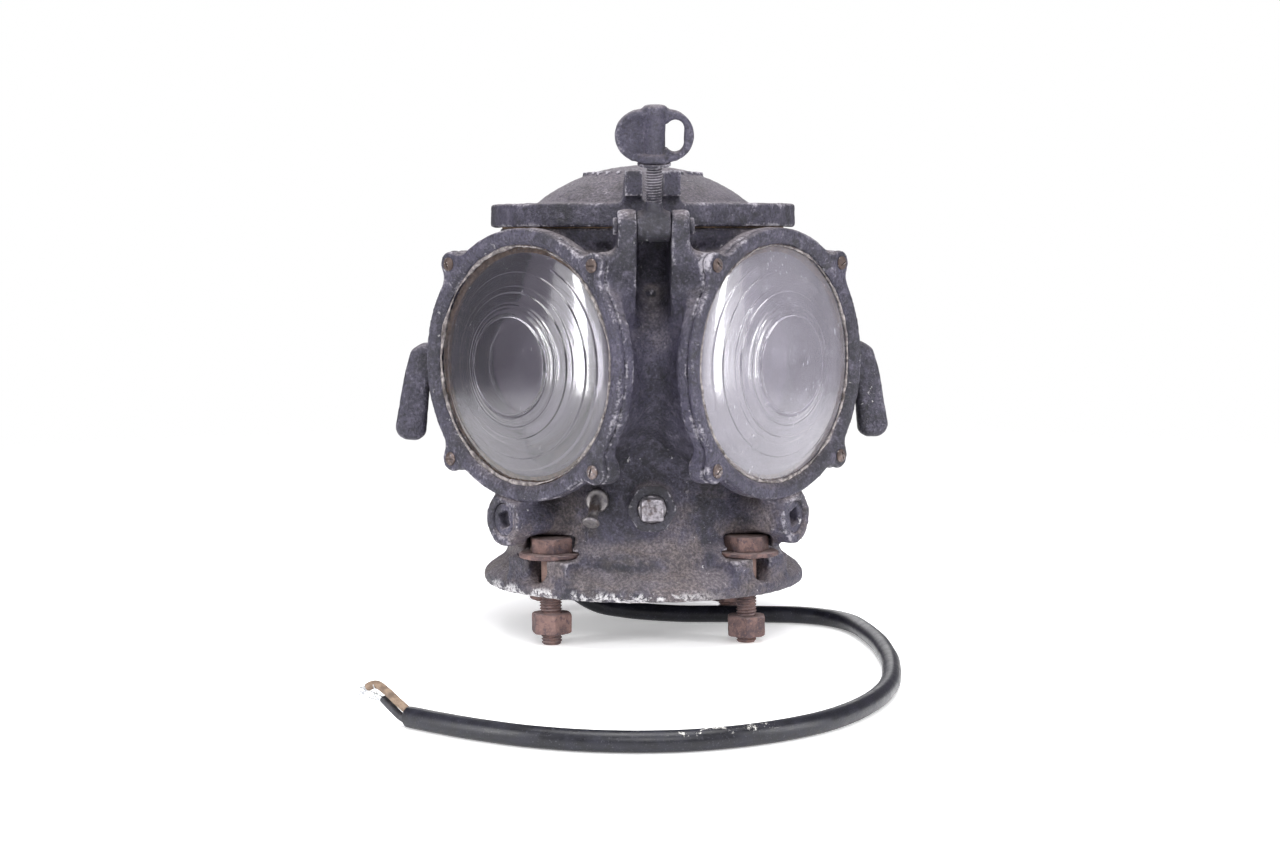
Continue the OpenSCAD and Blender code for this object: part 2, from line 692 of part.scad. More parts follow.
module base_nuts() {
  color([0.36, 0.20, 0.17]) for (i = [0:3]) rotate([0, 0, CORNERS[i]])
    translate([0, -bolt_circle_r, nut_lows[i]]) difference() {
      rotate([0, 0, 25 + 17 * i]) hexagon(nut_across, base_nut_h);
      translate([0, 0, -1]) cylinder(r = bolt_r, h = base_nut_h + 2);
    }
}

// ---- inside ----

module bulkhead() {
  color([0.40, 0.41, 0.43]) translate([0, 0, ledge_z]) difference() {
    cylinder(r = bulkhead_r, h = bulkhead_t);
    translate([bushing_x, bushing_y, -1]) cylinder(r = bushing_r, h = bulkhead_t + 2);
    for (a = pad_angles) rotate([0, 0, a])
      translate([pad_ring_r, 0, -1]) cylinder(r = screw_r + 0.3, h = bulkhead_t + 2);
  }
}

module bulkhead_screws() {
  color([0.55, 0.50, 0.38]) for (a = pad_angles) rotate([0, 0, a])
    translate([pad_ring_r, 0, bulkhead_top]) slotted_screw(bulkhead_t + pad_h - 5);
}

socket_r = 18;
socket_h = 30;
shell_r = 13;
bulb_r = 21;
bulb_low = bulkhead_top + 12;

module lamp_socket() {
  color([0.85, 0.84, 0.80]) translate([0, 0, bulkhead_top]) difference() {
    union() {
      cylinder(r = socket_r + 5, h = 7);
      translate([0, 0, 7]) cylinder(r = socket_r, h = socket_h - 7);
    }
    translate([0, 0, 10]) cylinder(r = shell_r + 0.6, h = socket_h);
  }
}

module bulb_base() {
  color([0.72, 0.62, 0.34]) translate([0, 0, bulb_low - 2]) {
    cylinder(r = 4, h = 3);
    translate([0, 0, 3]) cylinder(r1 = 5, r2 = shell_r, h = 3);
    translate([0, 0, 6]) cylinder(r = shell_r, h = 18);
  }
}

module bulb_glass() {
  neck_low = bulb_low + 22;
  color([0.85, 0.85, 0.82, 0.4]) translate([0, 0, neck_low]) rotate_extrude()
    polygon(concat([[0, 0], [shell_r - 0.6, 0], [shell_r - 1, 8], [shell_r + 2, 18]],
      [for (a = [-20:20:80]) [bulb_r * cos(a), lens_z - neck_low + bulb_r * sin(a)]],
      [[0, lens_z - neck_low + bulb_r]]));
}

module terminal_block() {
  color([0.16, 0.10, 0.08]) translate([-30, 38, bulkhead_top]) {
    cube([60, 20, 8]);
    for (x = [0, 19, 38, 57]) translate([x, 0, 8 - e]) cube([3, 20, 7]);
  }
}

module terminal_screws() {
  color([0.72, 0.62, 0.34]) for (x = [-18.5, 0.5, 19.5], y = [43, 53])
    translate([x, y, bulkhead_top + 8]) {
      cylinder(r = 3.4, h = 1.6);
      translate([0, 0, 1.6 - e]) cylinder(r = 2.6, h = 2.2);
    }
}

module cable_bushing() {
  color([0.08, 0.08, 0.08]) translate([bushing_x, bushing_y, bushing_low]) {
    cylinder(r1 = cable_r + 1, r2 = bushing_r, h = 5);
    translate([0, 0, 5 - e]) cylinder(r = bushing_r, h = bulkhead_top - bushing_low - 5 + e);
    translate([0, 0, bulkhead_top - bushing_low]) cylinder(r = bushing_r + 2.2, h = 3);
  }
}

module lead_live() {
  color([0.60, 0.45, 0.28]) tube(LIVE_LEAD, lead_r, 8);
}

module lead_neutral() {
  color([0.09, 0.09, 0.09]) tube(NEUTRAL_LEAD, lead_r, 8);
}

module cable() {
  color([0.07, 0.07, 0.08]) tube(CABLE_ROUTE, cable_r, 12);
}

module cable_core_tan() {
  color([0.55, 0.42, 0.30]) tube(TAN_CORE, core_r, 8);
}

module cable_core_black() {
  color([0.10, 0.10, 0.11]) tube(BLACK_CORE, core_r, 8);
}

housing();
lid();
lid_gasket();
lid_hinge_pin();
swing_bolt();
swing_bolt_pin();
nut_washer();
thumb_nut();
lens(FRONT_LEFT);  // lens_front_left
lens(FRONT_RIGHT);  // lens_front_right
lens(REAR_RIGHT);  // lens_rear_right
lens(REAR_LEFT);  // lens_rear_left
lens_gasket(FRONT_LEFT);  // lens_gasket_front_left
lens_gasket(FRONT_RIGHT);  // lens_gasket_front_right
lens_gasket(REAR_RIGHT);  // lens_gasket_rear_right
lens_gasket(REAR_LEFT);  // lens_gasket_rear_left
lens_ring(FRONT_LEFT);  // lens_ring_front_left
lens_ring(FRONT_RIGHT);  // lens_ring_front_right
lens_ring(REAR_RIGHT);  // lens_ring_rear_right
lens_ring(REAR_LEFT);  // lens_ring_rear_left
lens_ring_screws();
hand_hook(-1);  // hand_hook_left
hand_hook(1);  // hand_hook_right
side_plug(-1);  // side_plug_left
side_plug(1);  // side_plug_right
front_bushing();
front_plug();
drain_fitting();
base_bolts();
base_washers();
base_nuts();
bulkhead();
bulkhead_screws();
lamp_socket();
bulb_base();
bulb_glass();
terminal_block();
terminal_screws();
cable_bushing();
lead_live();
lead_neutral();
cable();
cable_core_tan();
cable_core_black();
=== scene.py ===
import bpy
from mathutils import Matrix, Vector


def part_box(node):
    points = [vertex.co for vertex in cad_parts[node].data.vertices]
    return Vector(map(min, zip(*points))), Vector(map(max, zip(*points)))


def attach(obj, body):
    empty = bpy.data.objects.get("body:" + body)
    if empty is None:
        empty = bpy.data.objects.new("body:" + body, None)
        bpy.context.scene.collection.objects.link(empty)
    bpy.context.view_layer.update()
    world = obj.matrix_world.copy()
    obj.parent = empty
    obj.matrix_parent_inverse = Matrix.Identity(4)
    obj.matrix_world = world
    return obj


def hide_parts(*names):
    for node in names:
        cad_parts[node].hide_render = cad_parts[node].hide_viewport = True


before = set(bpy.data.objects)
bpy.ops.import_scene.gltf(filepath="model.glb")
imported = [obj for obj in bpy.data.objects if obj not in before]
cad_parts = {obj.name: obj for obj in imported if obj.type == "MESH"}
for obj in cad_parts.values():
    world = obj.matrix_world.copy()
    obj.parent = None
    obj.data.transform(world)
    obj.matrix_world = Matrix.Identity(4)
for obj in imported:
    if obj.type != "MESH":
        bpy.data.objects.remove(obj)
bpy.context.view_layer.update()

import math

import bpy
import numpy as np
import openvdb
from mathutils import Matrix, Vector

MM = 0.001
RNG = np.random.default_rng(41)
NO_TRIS = np.empty((0, 3), np.uint32)

# Sizes that the looks share with the CAD part, in metres, and angles in degrees
CORNERS = {"front_left": -45, "front_right": 45, "rear_right": 135, "rear_left": 225}
LENS_Z, LENS_FACE, RING_T, RING_OPEN = 0.1722, 0.1065, 0.005, 0.0717
SCREW_PITCH = 0.060
BOLT_CIRCLE, BOLT_R, HEAD_Z, HEAD_AF, HEAD_H = 0.0847, 0.00635, 0.0569, 0.0241, 0.009
NUT_LOWS, NUT_AF, NUT_H = (0.007, 0.004, 0.006, 0.008), 0.0222, 0.0125
BOSS_TOP = 0.0539
LATCH_REACH, LATCH_Z, LEAN = 0.112, 0.255, 12
STEM_R, STEM_LOW, STEM_TOP = 0.0049, 0.011, 0.0635
NUT_BASE, NUT_TOP = 0.0375, 0.0705
STEM_PITCH, BOLT_PITCH = 0.0015875, 0.001954

# ---------------------------------------------------------------- camera

def aimed(place, target):
    """The pose of a camera or light at a place that looks at a target."""
    look = (Vector(target) - Vector(place)).to_track_quat("-Z", "Y").to_matrix().to_4x4()
    return Matrix.Translation(place) @ look


def camera(place, target, roll, lens):
    data = bpy.data.cameras.new("camera")
    data.lens, data.sensor_width = lens, 36
    data.clip_start, data.clip_end = 0.01, 50
    cam = bpy.data.objects.new("camera", data)
    cam.matrix_world = aimed(place, target) @ Matrix.Rotation(math.radians(roll), 4, "Z")
    bpy.context.collection.objects.link(cam)
    bpy.context.scene.camera = cam


camera(place=(-0.0792, -1.4125, 0.2521), target=(-0.00205, 0, 0.12786), roll=-0.15, lens=62.7)

# ---------------------------------------------------------------- materials

def srgb(r, g, b):
    """A colour given in 0-255 screen values, as the linear colour that a shader takes."""
    return tuple((c / 255 / 12.92) if c < 10 else ((c / 255 + 0.055) / 1.055) ** 2.4
                 for c in (r, g, b)) + (1,)


class Look:
    """A procedural material. Each method adds a node and returns the socket with its result."""

    def __init__(self, name):
        self.mat = bpy.data.materials.new(name)
        self.mat.use_nodes = True
        self.tree = self.mat.node_tree
        self.shader = self.tree.nodes["Principled BSDF"]
        coords = self.tree.nodes.new("ShaderNodeTexCoord")
        self.at, self.facing = coords.outputs["Object"], coords.outputs["Normal"]

    def put(self, socket, value):
        if isinstance(value, bpy.types.NodeSocket):
            self.tree.links.new(value, socket)
        else:
            socket.default_value = value

    def node(self, kind, out, *values, **props):
        node = self.tree.nodes.new("ShaderNode" + kind)
        for key, value in props.items():
            setattr(node, key, value)
        for socket, value in values:
            self.put(node.inputs[socket], value)
        return node.outputs[out]

    def noise(self, scale, detail=4, rough=0.55, twist=0.0, at=None):
        return self.node("TexNoise", "Fac", ("Vector", at or self.at), ("Scale", scale),
                         ("Detail", detail), ("Roughness", rough), ("Distortion", twist))

    def calc(self, op, a, b=0.0, c=0.0, clamp=False):
        return self.node("Math", 0, (0, a), (1, b), (2, c), operation=op, use_clamp=clamp)

    def mul(self, *values):
        total = values[0]
        for value in values[1:]:
            total = self.calc("MULTIPLY", total, value)
        return total

    def add(self, *values):
        total = values[0]
        for value in values[1:]:
            total = self.calc("ADD", total, value)
        return total

    def most(self, a, b):
        return self.calc("MAXIMUM", a, b)

    def ramp(self, value, low, high, start=0.0, end=1.0):
        """Start below low, end above high, and a smooth step between."""
        return self.node("MapRange", 0, ("Value", value), ("From Min", low), ("From Max", high),
                         ("To Min", start), ("To Max", end), interpolation_type="SMOOTHSTEP")

    def mix(self, amount, a, b):
        return self.node("Mix", 2, (0, amount), (6, a), (7, b), data_type="RGBA")

    def axes(self, vector=None):
        node = self.tree.nodes.new("ShaderNodeSeparateXYZ")
        self.put(node.inputs[0], vector or self.at)
        return node.outputs[0], node.outputs[1], node.outputs[2]

    def pointy(self):
        return self.node("NewGeometry", "Pointiness")

    def bump(self, height, depth, under=None, strength=1.0):
        values = [("Height", height), ("Distance", depth), ("Strength", strength)]
        if under:
            values.append(("Normal", under))
        return self.node("Bump", 0, *values)

    def done(self, colour, rough, normal=None, **constants):
        self.put(self.shader.inputs["Base Color"], colour)
        self.put(self.shader.inputs["Roughness"], rough)
        if normal:
            self.put(self.shader.inputs["Normal"], normal)
        for key, value in constants.items():
            self.put(self.shader.inputs[key.replace("_", " ")], value)
        return self.mat


def cast_paint(name, dust=1.0, wear=1.0, chips=0.0, low_edge=False, shade=0.88):
    """Old dark blue-grey paint on sand-cast iron: grain with painted highlights and painted shade in its
    specks, dust on what faces up, bare edges.
    """
    k = Look(name)

    def tone(*values):
        return srgb(*(v * shade for v in values))

    broad, mid = k.noise(11, 5, 0.6), k.noise(48, 6, 0.62, 0.6)
    grain, fine = k.noise(620, 5, 0.65), k.noise(1700, 3, 0.6)
    colour = k.mix(k.ramp(broad, 0.40, 0.64), tone(28, 26, 40), tone(62, 58, 80))
    colour = k.mix(k.ramp(mid, 0.42, 0.68, 0, 0.75), colour, tone(80, 76, 96))
    colour = k.mix(k.ramp(k.noise(130, 6, 0.7, 0.3), 0.5, 0.70, 0, 0.6), colour, tone(110, 105, 124))
    colour = k.mix(k.ramp(k.noise(75, 6, 0.7, 0.5), 0.47, 0.33, 0, 0.75), colour, tone(20, 19, 28))
    # Light and dark specks at the grain's size: painted highlights and painted shade of the cast grain, added
    # on top of its bump
    colour = k.mix(k.ramp(grain, 0.52, 0.70, 0, 0.36), colour, tone(128, 123, 142))
    colour = k.mix(k.ramp(grain, 0.48, 0.36, 0, 0.7), colour, tone(12, 11, 18))
    up = k.axes(k.facing)[2]
    settled = k.ramp(k.add(up, k.mul(mid, 1.1), k.mul(broad, 0.5)), 0.95, 1.95, 0, 0.7 * dust)
    colour = k.mix(settled, colour, k.mix(k.ramp(grain, 0.4, 0.65), srgb(108, 101, 106), srgb(156, 147, 148)))
    pits = k.ramp(k.pointy(), 0.485, 0.44, 0, 0.4 * dust)
    colour = k.mix(k.mul(pits, k.ramp(mid, 0.4, 0.6)), colour, srgb(122, 108, 100))
    ridge = k.ramp(k.add(k.pointy(), k.mul(k.add(mid, -0.5), 0.16), k.mul(k.add(grain, -0.5), 0.10)),
                   0.526, 0.568, 0, 0.75 * wear)
    colour = k.mix(ridge, colour, srgb(168, 164, 172))
    spots = k.mul(k.ramp(k.noise(230, 4, 0.7, 0.4), 0.655 - 0.03 * chips, 0.685),
                  k.ramp(k.noise(17, 3), 0.45, 0.62))
    bare = k.mul(spots, 0.85)
    if low_edge:
        x, y, z = k.axes()
        soil = k.mul(k.ramp(z, 0.112, 0.07), k.ramp(k.noise(26, 6, 0.7, 0.5), 0.44, 0.62), 0.55)
        colour = k.mix(soil, colour, k.mix(k.ramp(grain, 0.4, 0.62), tone(92, 82, 82), tone(146, 132, 126)))
        band = k.mul(k.ramp(z, 0.0385, 0.0345), k.ramp(y, 0.0, -0.05), k.ramp(x, 0.05, 0.0),
                     k.ramp(k.noise(46, 6, 0.75, 0.8), 0.50, 0.54))
        bare = k.most(bare, k.mul(band, k.ramp(grain, 0.36, 0.44)))
    colour = k.mix(bare, colour, k.mix(k.ramp(grain, 0.4, 0.6), srgb(142, 139, 144), srgb(204, 202, 204)))
    rough = k.add(k.ramp(mid, 0.3, 0.7, 0.42, 0.62), k.mul(settled, 0.22))
    skin = k.bump(k.add(k.mul(grain, 0.7), k.mul(fine, 0.3)), 0.0017, strength=1.0)
    skin = k.bump(k.noise(150, 4, 0.6), 0.0022, skin, 0.55)
    skin = k.bump(bare, 0.0003, skin, 0.6)
    return k.done(colour, rough, skin, Specular_IOR_Level=0.55)


def rusty(name):
    """Brown rust with darker patches, and paler where it faces up or has an edge."""
    k = Look(name)
    broad, mid, fine = k.noise(60, 5, 0.6, 0.5), k.noise(260, 6, 0.66, 0.4), k.noise(900, 5, 0.65)
    colour = k.mix(k.ramp(broad, 0.38, 0.62), srgb(80, 65, 66), srgb(122, 97, 92))
    colour = k.mix(k.ramp(mid, 0.48, 0.66, 0, 0.8), colour, srgb(70, 62, 70))
    colour = k.mix(k.ramp(fine, 0.52, 0.72, 0, 0.5), colour, srgb(158, 122, 110))
    up = k.axes(k.facing)[2]
    colour = k.mix(k.mul(k.ramp(up, 0.4, 1.0, 0, 0.8), k.ramp(mid, 0.3, 0.6)), colour, srgb(160, 142, 140))
    edge = k.ramp(k.add(k.pointy(), k.mul(k.add(fine, -0.5), 0.12)), 0.56, 0.63, 0, 0.55)
    colour = k.mix(edge, colour, srgb(158, 132, 122))
    skin = k.bump(k.add(k.mul(mid, 0.6), k.mul(fine, 0.4)), 0.0009, strength=0.75)
    return k.done(colour, k.ramp(mid, 0.3, 0.7, 0.62, 0.86), skin, Metallic=0.15, Specular_IOR_Level=0.35)


def bare_steel(name, grime=0.5, tone=(150, 146, 152)):
    """Worn metal, dark in its hollows and bright on its edges."""
    k = Look(name)
    broad, mid, fine = k.noise(120, 5, 0.6), k.noise(420, 5, 0.6), k.noise(1600, 4, 0.6)
    colour = k.mix(k.ramp(mid, 0.42, 0.66), srgb(*tone), srgb(98, 94, 100))
    dirt = k.ramp(broad, 0.62 - 0.3 * grime, 0.74 - 0.2 * grime, 0, 0.85)
    colour = k.mix(dirt, colour, srgb(74, 62, 58))
    dark = k.ramp(k.pointy(), 0.49, 0.43, 0, 0.8)
    colour = k.mix(dark, colour, srgb(40, 34, 34))
    edge = k.ramp(k.pointy(), 0.54, 0.6, 0, 0.6)
    colour = k.mix(edge, colour, srgb(205, 198, 196))
    skin = k.bump(k.add(k.mul(mid, 0.6), k.mul(fine, 0.4)), 0.0005, strength=0.5)
    return k.done(colour, k.add(k.ramp(mid, 0.3, 0.7, 0.34, 0.5), k.mul(dirt, 0.3)), skin, Metallic=0.7)


def glass(name, film, tone, smear):
    """Thick clear glass under a film of dust, with bright scratches and dirty streaks."""
    k = Look(name)
    broad, mid, fine = k.noise(24, 5, 0.62, 0.8), k.noise(90, 6, 0.65, 0.5), k.noise(700, 4, 0.6)
    haze = k.add(k.ramp(broad, 0.35, 0.7, film * 0.7, film), k.ramp(mid, 0.5, 0.75, 0, film * 0.4))
    specks = k.ramp(k.noise(1300, 3, 0.6), 0.70, 0.76, 0, 0.75)
    streak = k.node("Mapping", 0, ("Vector", k.at), ("Scale", (1.0, 1.0, 0.12)),
                    ("Rotation", (0.5, 0.2, 0.6)))
    scratches = k.mul(k.ramp(k.noise(900, 2, 0.5, at=streak), 0.66, 0.70), k.ramp(mid, 0.5, 0.62), 0.45)
    cover = k.calc("ADD", k.most(haze, k.mul(scratches, smear)), k.mul(specks, smear), clamp=True)
    dusty = k.mix(mid, srgb(*tone), srgb(*[min(255, c + 40) for c in tone]))
    colour = k.mix(cover, srgb(224, 220, 232), dusty)
    k.put(k.shader.inputs["Transmission Weight"], k.calc("SUBTRACT", 1.0, cover, clamp=True))
    skin = k.bump(fine, 0.00003, strength=0.15)
    return k.done(colour, k.ramp(cover, 0.0, 0.6, 0.12, 0.45), skin, IOR=1.5, Coat_Weight=0.6,
                  Coat_Roughness=0.03, Specular_IOR_Level=0.32)


def rubber():
    """Black cable rubber, with the white paint spots that the photograph shows."""
    k = Look("black_rubber")
    mid, fine = k.noise(130, 5, 0.6), k.noise(1100, 4, 0.6)
    colour = k.mix(k.ramp(mid, 0.35, 0.7), srgb(13, 13, 20), srgb(26, 26, 37))
    colour = k.mix(k.ramp(fine, 0.56, 0.75, 0, 0.35), colour, srgb(104, 102, 112))
    x, y = k.axes()[:2]
    top = k.ramp(k.axes(k.facing)[2], 0.2, 0.75)
    near = k.mul(k.ramp(y, -0.325, -0.335), k.ramp(x, -0.012, 0.004), k.ramp(x, 0.052, 0.04))
    paint = k.mul(near, k.ramp(top, 0.5, 1.0), k.ramp(k.noise(120, 6, 0.75, 0.9), 0.545, 0.57))
    drips = k.mul(k.ramp(k.noise(150, 3, 0.6, 0.4), 0.70, 0.72), k.ramp(k.noise(14, 2), 0.5, 0.6), top)
    spots = k.most(paint, drips)
    colour = k.mix(spots, colour, srgb(222, 220, 216))
    skin = k.bump(k.add(k.mul(mid, 0.5), k.mul(fine, 0.5)), 0.0004, strength=0.5)
    skin = k.bump(spots, 0.0003, skin)
    return k.done(colour, k.ramp(mid, 0.3, 0.7, 0.30, 0.44), skin, Specular_IOR_Level=0.4)


def plain(name, low, high, scale, rough, depth=0.0004, metal=0.0, dirt=(70, 62, 56), dirty=0.5):
    """A finish with two tones at one grain size, dirt in its hollows and patches."""
    k = Look(name)
    mid, fine = k.noise(scale, 5, 0.6, 0.4), k.noise(scale * 6, 4, 0.6)
    colour = k.mix(k.ramp(mid, 0.38, 0.64), srgb(*low), srgb(*high))
    soil = k.most(k.ramp(k.noise(scale * 0.4, 4, 0.6), 0.5, 0.7, 0, dirty),
                  k.ramp(k.pointy(), 0.48, 0.43, 0, dirty))
    colour = k.mix(soil, colour, srgb(*dirt))
    skin = k.bump(k.add(k.mul(mid, 0.5), k.mul(fine, 0.5)), depth, strength=0.6)
    dull = k.add(k.ramp(fine, 0.3, 0.7, rough - 0.07, rough + 0.07), k.mul(soil, 0.2))
    return k.done(colour, dull, skin, Metallic=metal)


CAST = cast_paint("cast_iron_paint", low_edge=True)
LID = cast_paint("lid_paint", dust=0.55, wear=1.1, shade=0.84)
RING = cast_paint("ring_paint", dust=0.55, wear=1.1, chips=0.6)
FITTING = cast_paint("fitting_paint", dust=0.6, wear=0.7)
HOOK = cast_paint("hook_paint", dust=0.4, wear=0.5, shade=0.84)
BUSHING = cast_paint("bushing_paint", dust=0.35, wear=1.1, shade=0.62)
RUST = rusty("rusty_steel")
WORN = bare_steel("worn_steel", 0.35)
SCREW = bare_steel("screw_steel", 1.0, (126, 112, 108))
ZINC = bare_steel("zinc_fitting", 0.5, (128, 124, 124))
LATCH_STEEL = cast_paint("latch_paint", dust=0.4, wear=0.9, shade=0.76)
CLEAR = glass("lens_glass_clear", 0.012, (92, 84, 92), 0.7)
DUSTY = glass("lens_glass_dusty", 0.20, (136, 131, 146), 1.0)
GRIMY = glass("lens_glass_grimy", 0.62, (112, 106, 112), 1.0)
RUBBER = rubber()
GASKET = plain("gasket_cork", (92, 76, 62), (126, 104, 84), 300, 0.85)
PUTTY = plain("putty", (92, 86, 88), (156, 149, 147), 300, 0.9, 0.0012, dirt=(62, 56, 54), dirty=0.9)
SHEET = plain("sheet_steel", (96, 96, 98), (126, 126, 128), 160, 0.5, metal=0.6)
BRASS = plain("brass", (150, 122, 66), (182, 150, 88), 240, 0.38, metal=0.85)
PORCELAIN = plain("porcelain", (206, 202, 192), (226, 222, 212), 90, 0.22, 0.0002)
BAKELITE = plain("bakelite", (44, 28, 22), (60, 38, 28), 200, 0.35, 0.0002)
TAN = plain("core_tan", (98, 80, 66), (132, 112, 94), 260, 0.65)
BLACK_CORE_MAT = plain("core_black", (28, 28, 34), (46, 46, 54), 260, 0.5)
TINNED = plain("tinned_copper", (176, 178, 182), (216, 218, 220), 700, 0.35, metal=0.7, dirty=0.3)


def bulb_look():
    k = Look("bulb_glass")
    cover = k.ramp(k.noise(60, 5, 0.6), 0.45, 0.75, 0.08, 0.35)
    k.put(k.shader.inputs["Transmission Weight"], k.calc("SUBTRACT", 1.0, cover))
    colour = k.mix(cover, srgb(240, 240, 236), srgb(160, 150, 140))
    return k.done(colour, k.ramp(cover, 0, 0.4, 0.06, 0.35), IOR=1.45)


BULB = bulb_look()

# ---------------------------------------------------------------- mesh helpers

def link(name, data, material, body, nodes):
    obj = bpy.data.objects.new(name, data)
    bpy.context.collection.objects.link(obj)
    data.materials.append(material)
    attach(obj, body)
    if nodes:
        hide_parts(*nodes)
    return obj


def piece(name, points, faces, material, body, slot, *nodes):
    """A smooth-shaded mesh from points in the shared frame, and quads as an array or faces as lists."""
    mesh = bpy.data.meshes.new(name)
    points = np.asarray(points, np.float32)
    if isinstance(faces, np.ndarray):
        mesh.vertices.add(len(points))
        mesh.vertices.foreach_set("co", points.ravel())
        mesh.loops.add(faces.size)
        mesh.loops.foreach_set("vertex_index", faces.astype(np.int32).ravel())
        mesh.polygons.add(len(faces))
        mesh.polygons.foreach_set("loop_start", np.arange(len(faces), dtype=np.int32) * faces.shape[1])
        mesh.update(calc_edges=True)
        mesh.validate()
    else:
        mesh.from_pydata(points.tolist(), [], faces)
    mesh.polygons.foreach_set("use_smooth", np.ones(len(mesh.polygons), bool))
    return link(name, mesh, material, body, nodes)


def join(*meshes):
    """Several (points, quads) as one."""
    points, quads, count = [], [], 0
    for p, q in meshes:
        points.append(p)
        quads.append(q + count)
        count += len(p)
    return np.concatenate(points), np.concatenate(quads)


def moved(matrix, mesh):
    m = np.array(matrix)
    return mesh[0] @ m[:3, :3].T.astype(np.float32) + m[:3, 3].astype(np.float32), mesh[1]


def at_lens(angle):
    """Local +Z points straight out from the lamp's axis at this angle, and local +Y up."""
    return (Matrix.Rotation(math.radians(angle), 4, "Z") @ Matrix.Translation((0, 0, LENS_Z))
            @ Matrix.Rotation(math.radians(90), 4, "X"))


def at_bolt(angle):
    """Local +Z is a base bolt's axis, with its nought on the floor."""
    return Matrix.Rotation(math.radians(angle), 4, "Z") @ Matrix.Translation((0, -BOLT_CIRCLE, 0))


ON_BOLT = Matrix.Translation((0, -LATCH_REACH, LATCH_Z)) @ Matrix.Rotation(math.radians(LEAN), 4, "X")


def node_mesh(name):
    """A CAD node as points, triangles and no quads."""
    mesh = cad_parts[name].data
    mesh.calc_loop_triangles()
    points = np.empty(len(mesh.vertices) * 3, np.float32)
    tris = np.empty(len(mesh.loop_triangles) * 3, np.int32)
    mesh.vertices.foreach_get("co", points)
    mesh.loop_triangles.foreach_get("vertices", tris)
    return points.reshape(-1, 3), tris.reshape(-1, 3).astype(np.uint32), np.empty((0, 4), np.uint32)


def level(mesh, voxel, reach):
    """Signed distances out to at least this reach from a mesh."""
    return openvdb.FloatGrid.createLevelSetFromPolygons(
        mesh[0], triangles=mesh[1], quads=mesh[2],
        transform=openvdb.createLinearTransform(voxelSize=voxel), halfWidth=reach / voxel + 3)


def offset(mesh, voxel, distance):
    """The mesh grown by a distance, or shrunk if it is negative."""
    points, quads = level(mesh, voxel, abs(distance)).convertToQuads(isovalue=distance)
    return points, NO_TRIS, quads


class Clay:
    """Signed distances on a grid in the shared frame (or a local one), negative inside."""

    def __init__(self, low, high, voxel):
        self.voxel = voxel
        self.start = np.floor(np.array(low) / voxel).astype(int) - 5
        self.count = np.ceil(np.array(high) / voxel).astype(int) + 6 - self.start
        x, y, z = ((self.start[i] + np.arange(self.count[i])) * voxel for i in range(3))
        self.x, self.y, self.z = (x.astype(np.float32)[:, None, None], y.astype(np.float32)[None, :, None],
                                  z.astype(np.float32)[None, None, :])

    def field(self, mesh, reach=0.0):
        out = np.empty(tuple(self.count), np.float32)
        level(mesh, self.voxel, reach).copyToArray(out, ijk=tuple(int(i) for i in self.start))
        return out

    def skin(self, field):
        """The surface at distance nought, as points and quads that face out."""
        band = 3 * self.voxel
        grid = openvdb.FloatGrid(band)
        grid.transform = openvdb.createLinearTransform(voxelSize=self.voxel)
        full = np.ascontiguousarray(np.broadcast_to(field, tuple(self.count)), np.float32)
        grid.copyFromArray(np.clip(full, -band, band), ijk=tuple(int(i) for i in self.start), tolerance=0.0)
        points, quads = grid.convertToQuads(isovalue=0.0)
        return outward(points, quads)


def local(clay, matrix):
    """The grid's coordinates as seen in a local frame."""
    m = matrix.inverted()
    return [m[i][0] * clay.x + m[i][1] * clay.y + m[i][2] * clay.z + m[i][3] for i in range(3)]


def outward(points, quads):
    """Quads turned round if they face in."""
    a, b, c, d = (points[quads[:, i]].astype(np.float64) for i in range(4))
    if np.einsum("ij,ij->i", a, np.cross(c - a, d - b)).sum() < 0:
        quads = quads[:, ::-1]
    return points, np.ascontiguousarray(quads).astype(np.int64)


def relax(mesh, rounds, amount=0.5):
    """Each point moved toward the middle of its neighbours."""
    points, quads = mesh
    points = points.astype(np.float64)
    a = quads.ravel()
    b = np.roll(quads, -1, axis=1).ravel()
    count = len(points)
    share = np.bincount(a, minlength=count) + np.bincount(b, minlength=count)
    for _ in range(rounds):
        mean = np.stack([(np.bincount(a, points[b, i], count) + np.bincount(b, points[a, i], count)) / share
                         for i in range(3)], 1)
        points += amount * (mean - points)
    return points, quads


def normals(mesh):
    points, quads = mesh
    a, b, c, d = (points[quads[:, i]] for i in range(4))
    n = np.cross(c - a, d - b)
    flat = quads.ravel()
    n = np.repeat(n, 4, axis=0)
    total = np.stack([np.bincount(flat, n[:, i], len(points)) for i in range(3)], 1)
    return total / np.maximum(np.linalg.norm(total, axis=1, keepdims=True), 1e-12)


LATTICE = RNG.random((32, 32, 32)) * 2 - 1


def lumps(points, size):
    """Smooth noise from -1 to 1, with features of this size in metres."""
    q = np.asarray(points) / size + 100
    i = np.floor(q).astype(int)
    f = q - i
    f = f * f * (3 - 2 * f)
    total = 0
    for corner in range(8):
        pick = [(corner >> k) & 1 for k in range(3)]
        weight = np.prod([f[:, k] if pick[k] else 1 - f[:, k] for k in range(3)], axis=0)
        total = total + weight * LATTICE[tuple((i[:, k] + pick[k]) & 31 for k in range(3))]
    return total


def roughen(mesh, coarse, fine):
    """The uneven skin of a casting: points pushed along their normals by smooth noise."""
    points, quads = mesh
    push = (coarse * lumps(points, 0.013) + 0.6 * coarse * lumps(points + 3, 0.006)
            + fine * lumps(points + 7, 0.0028))
    return points + normals(mesh) * push[:, None], quads


def closed(mesh, voxel, fill, ease=0.0):
    """Inside corners filled to a radius, then outside ones eased to one."""
    if fill:
        mesh = offset(mesh, voxel, fill)
    if fill or ease:
        mesh = offset(mesh, voxel, -fill - ease)
    if ease:
        mesh = offset(mesh, voxel, ease)
    return mesh


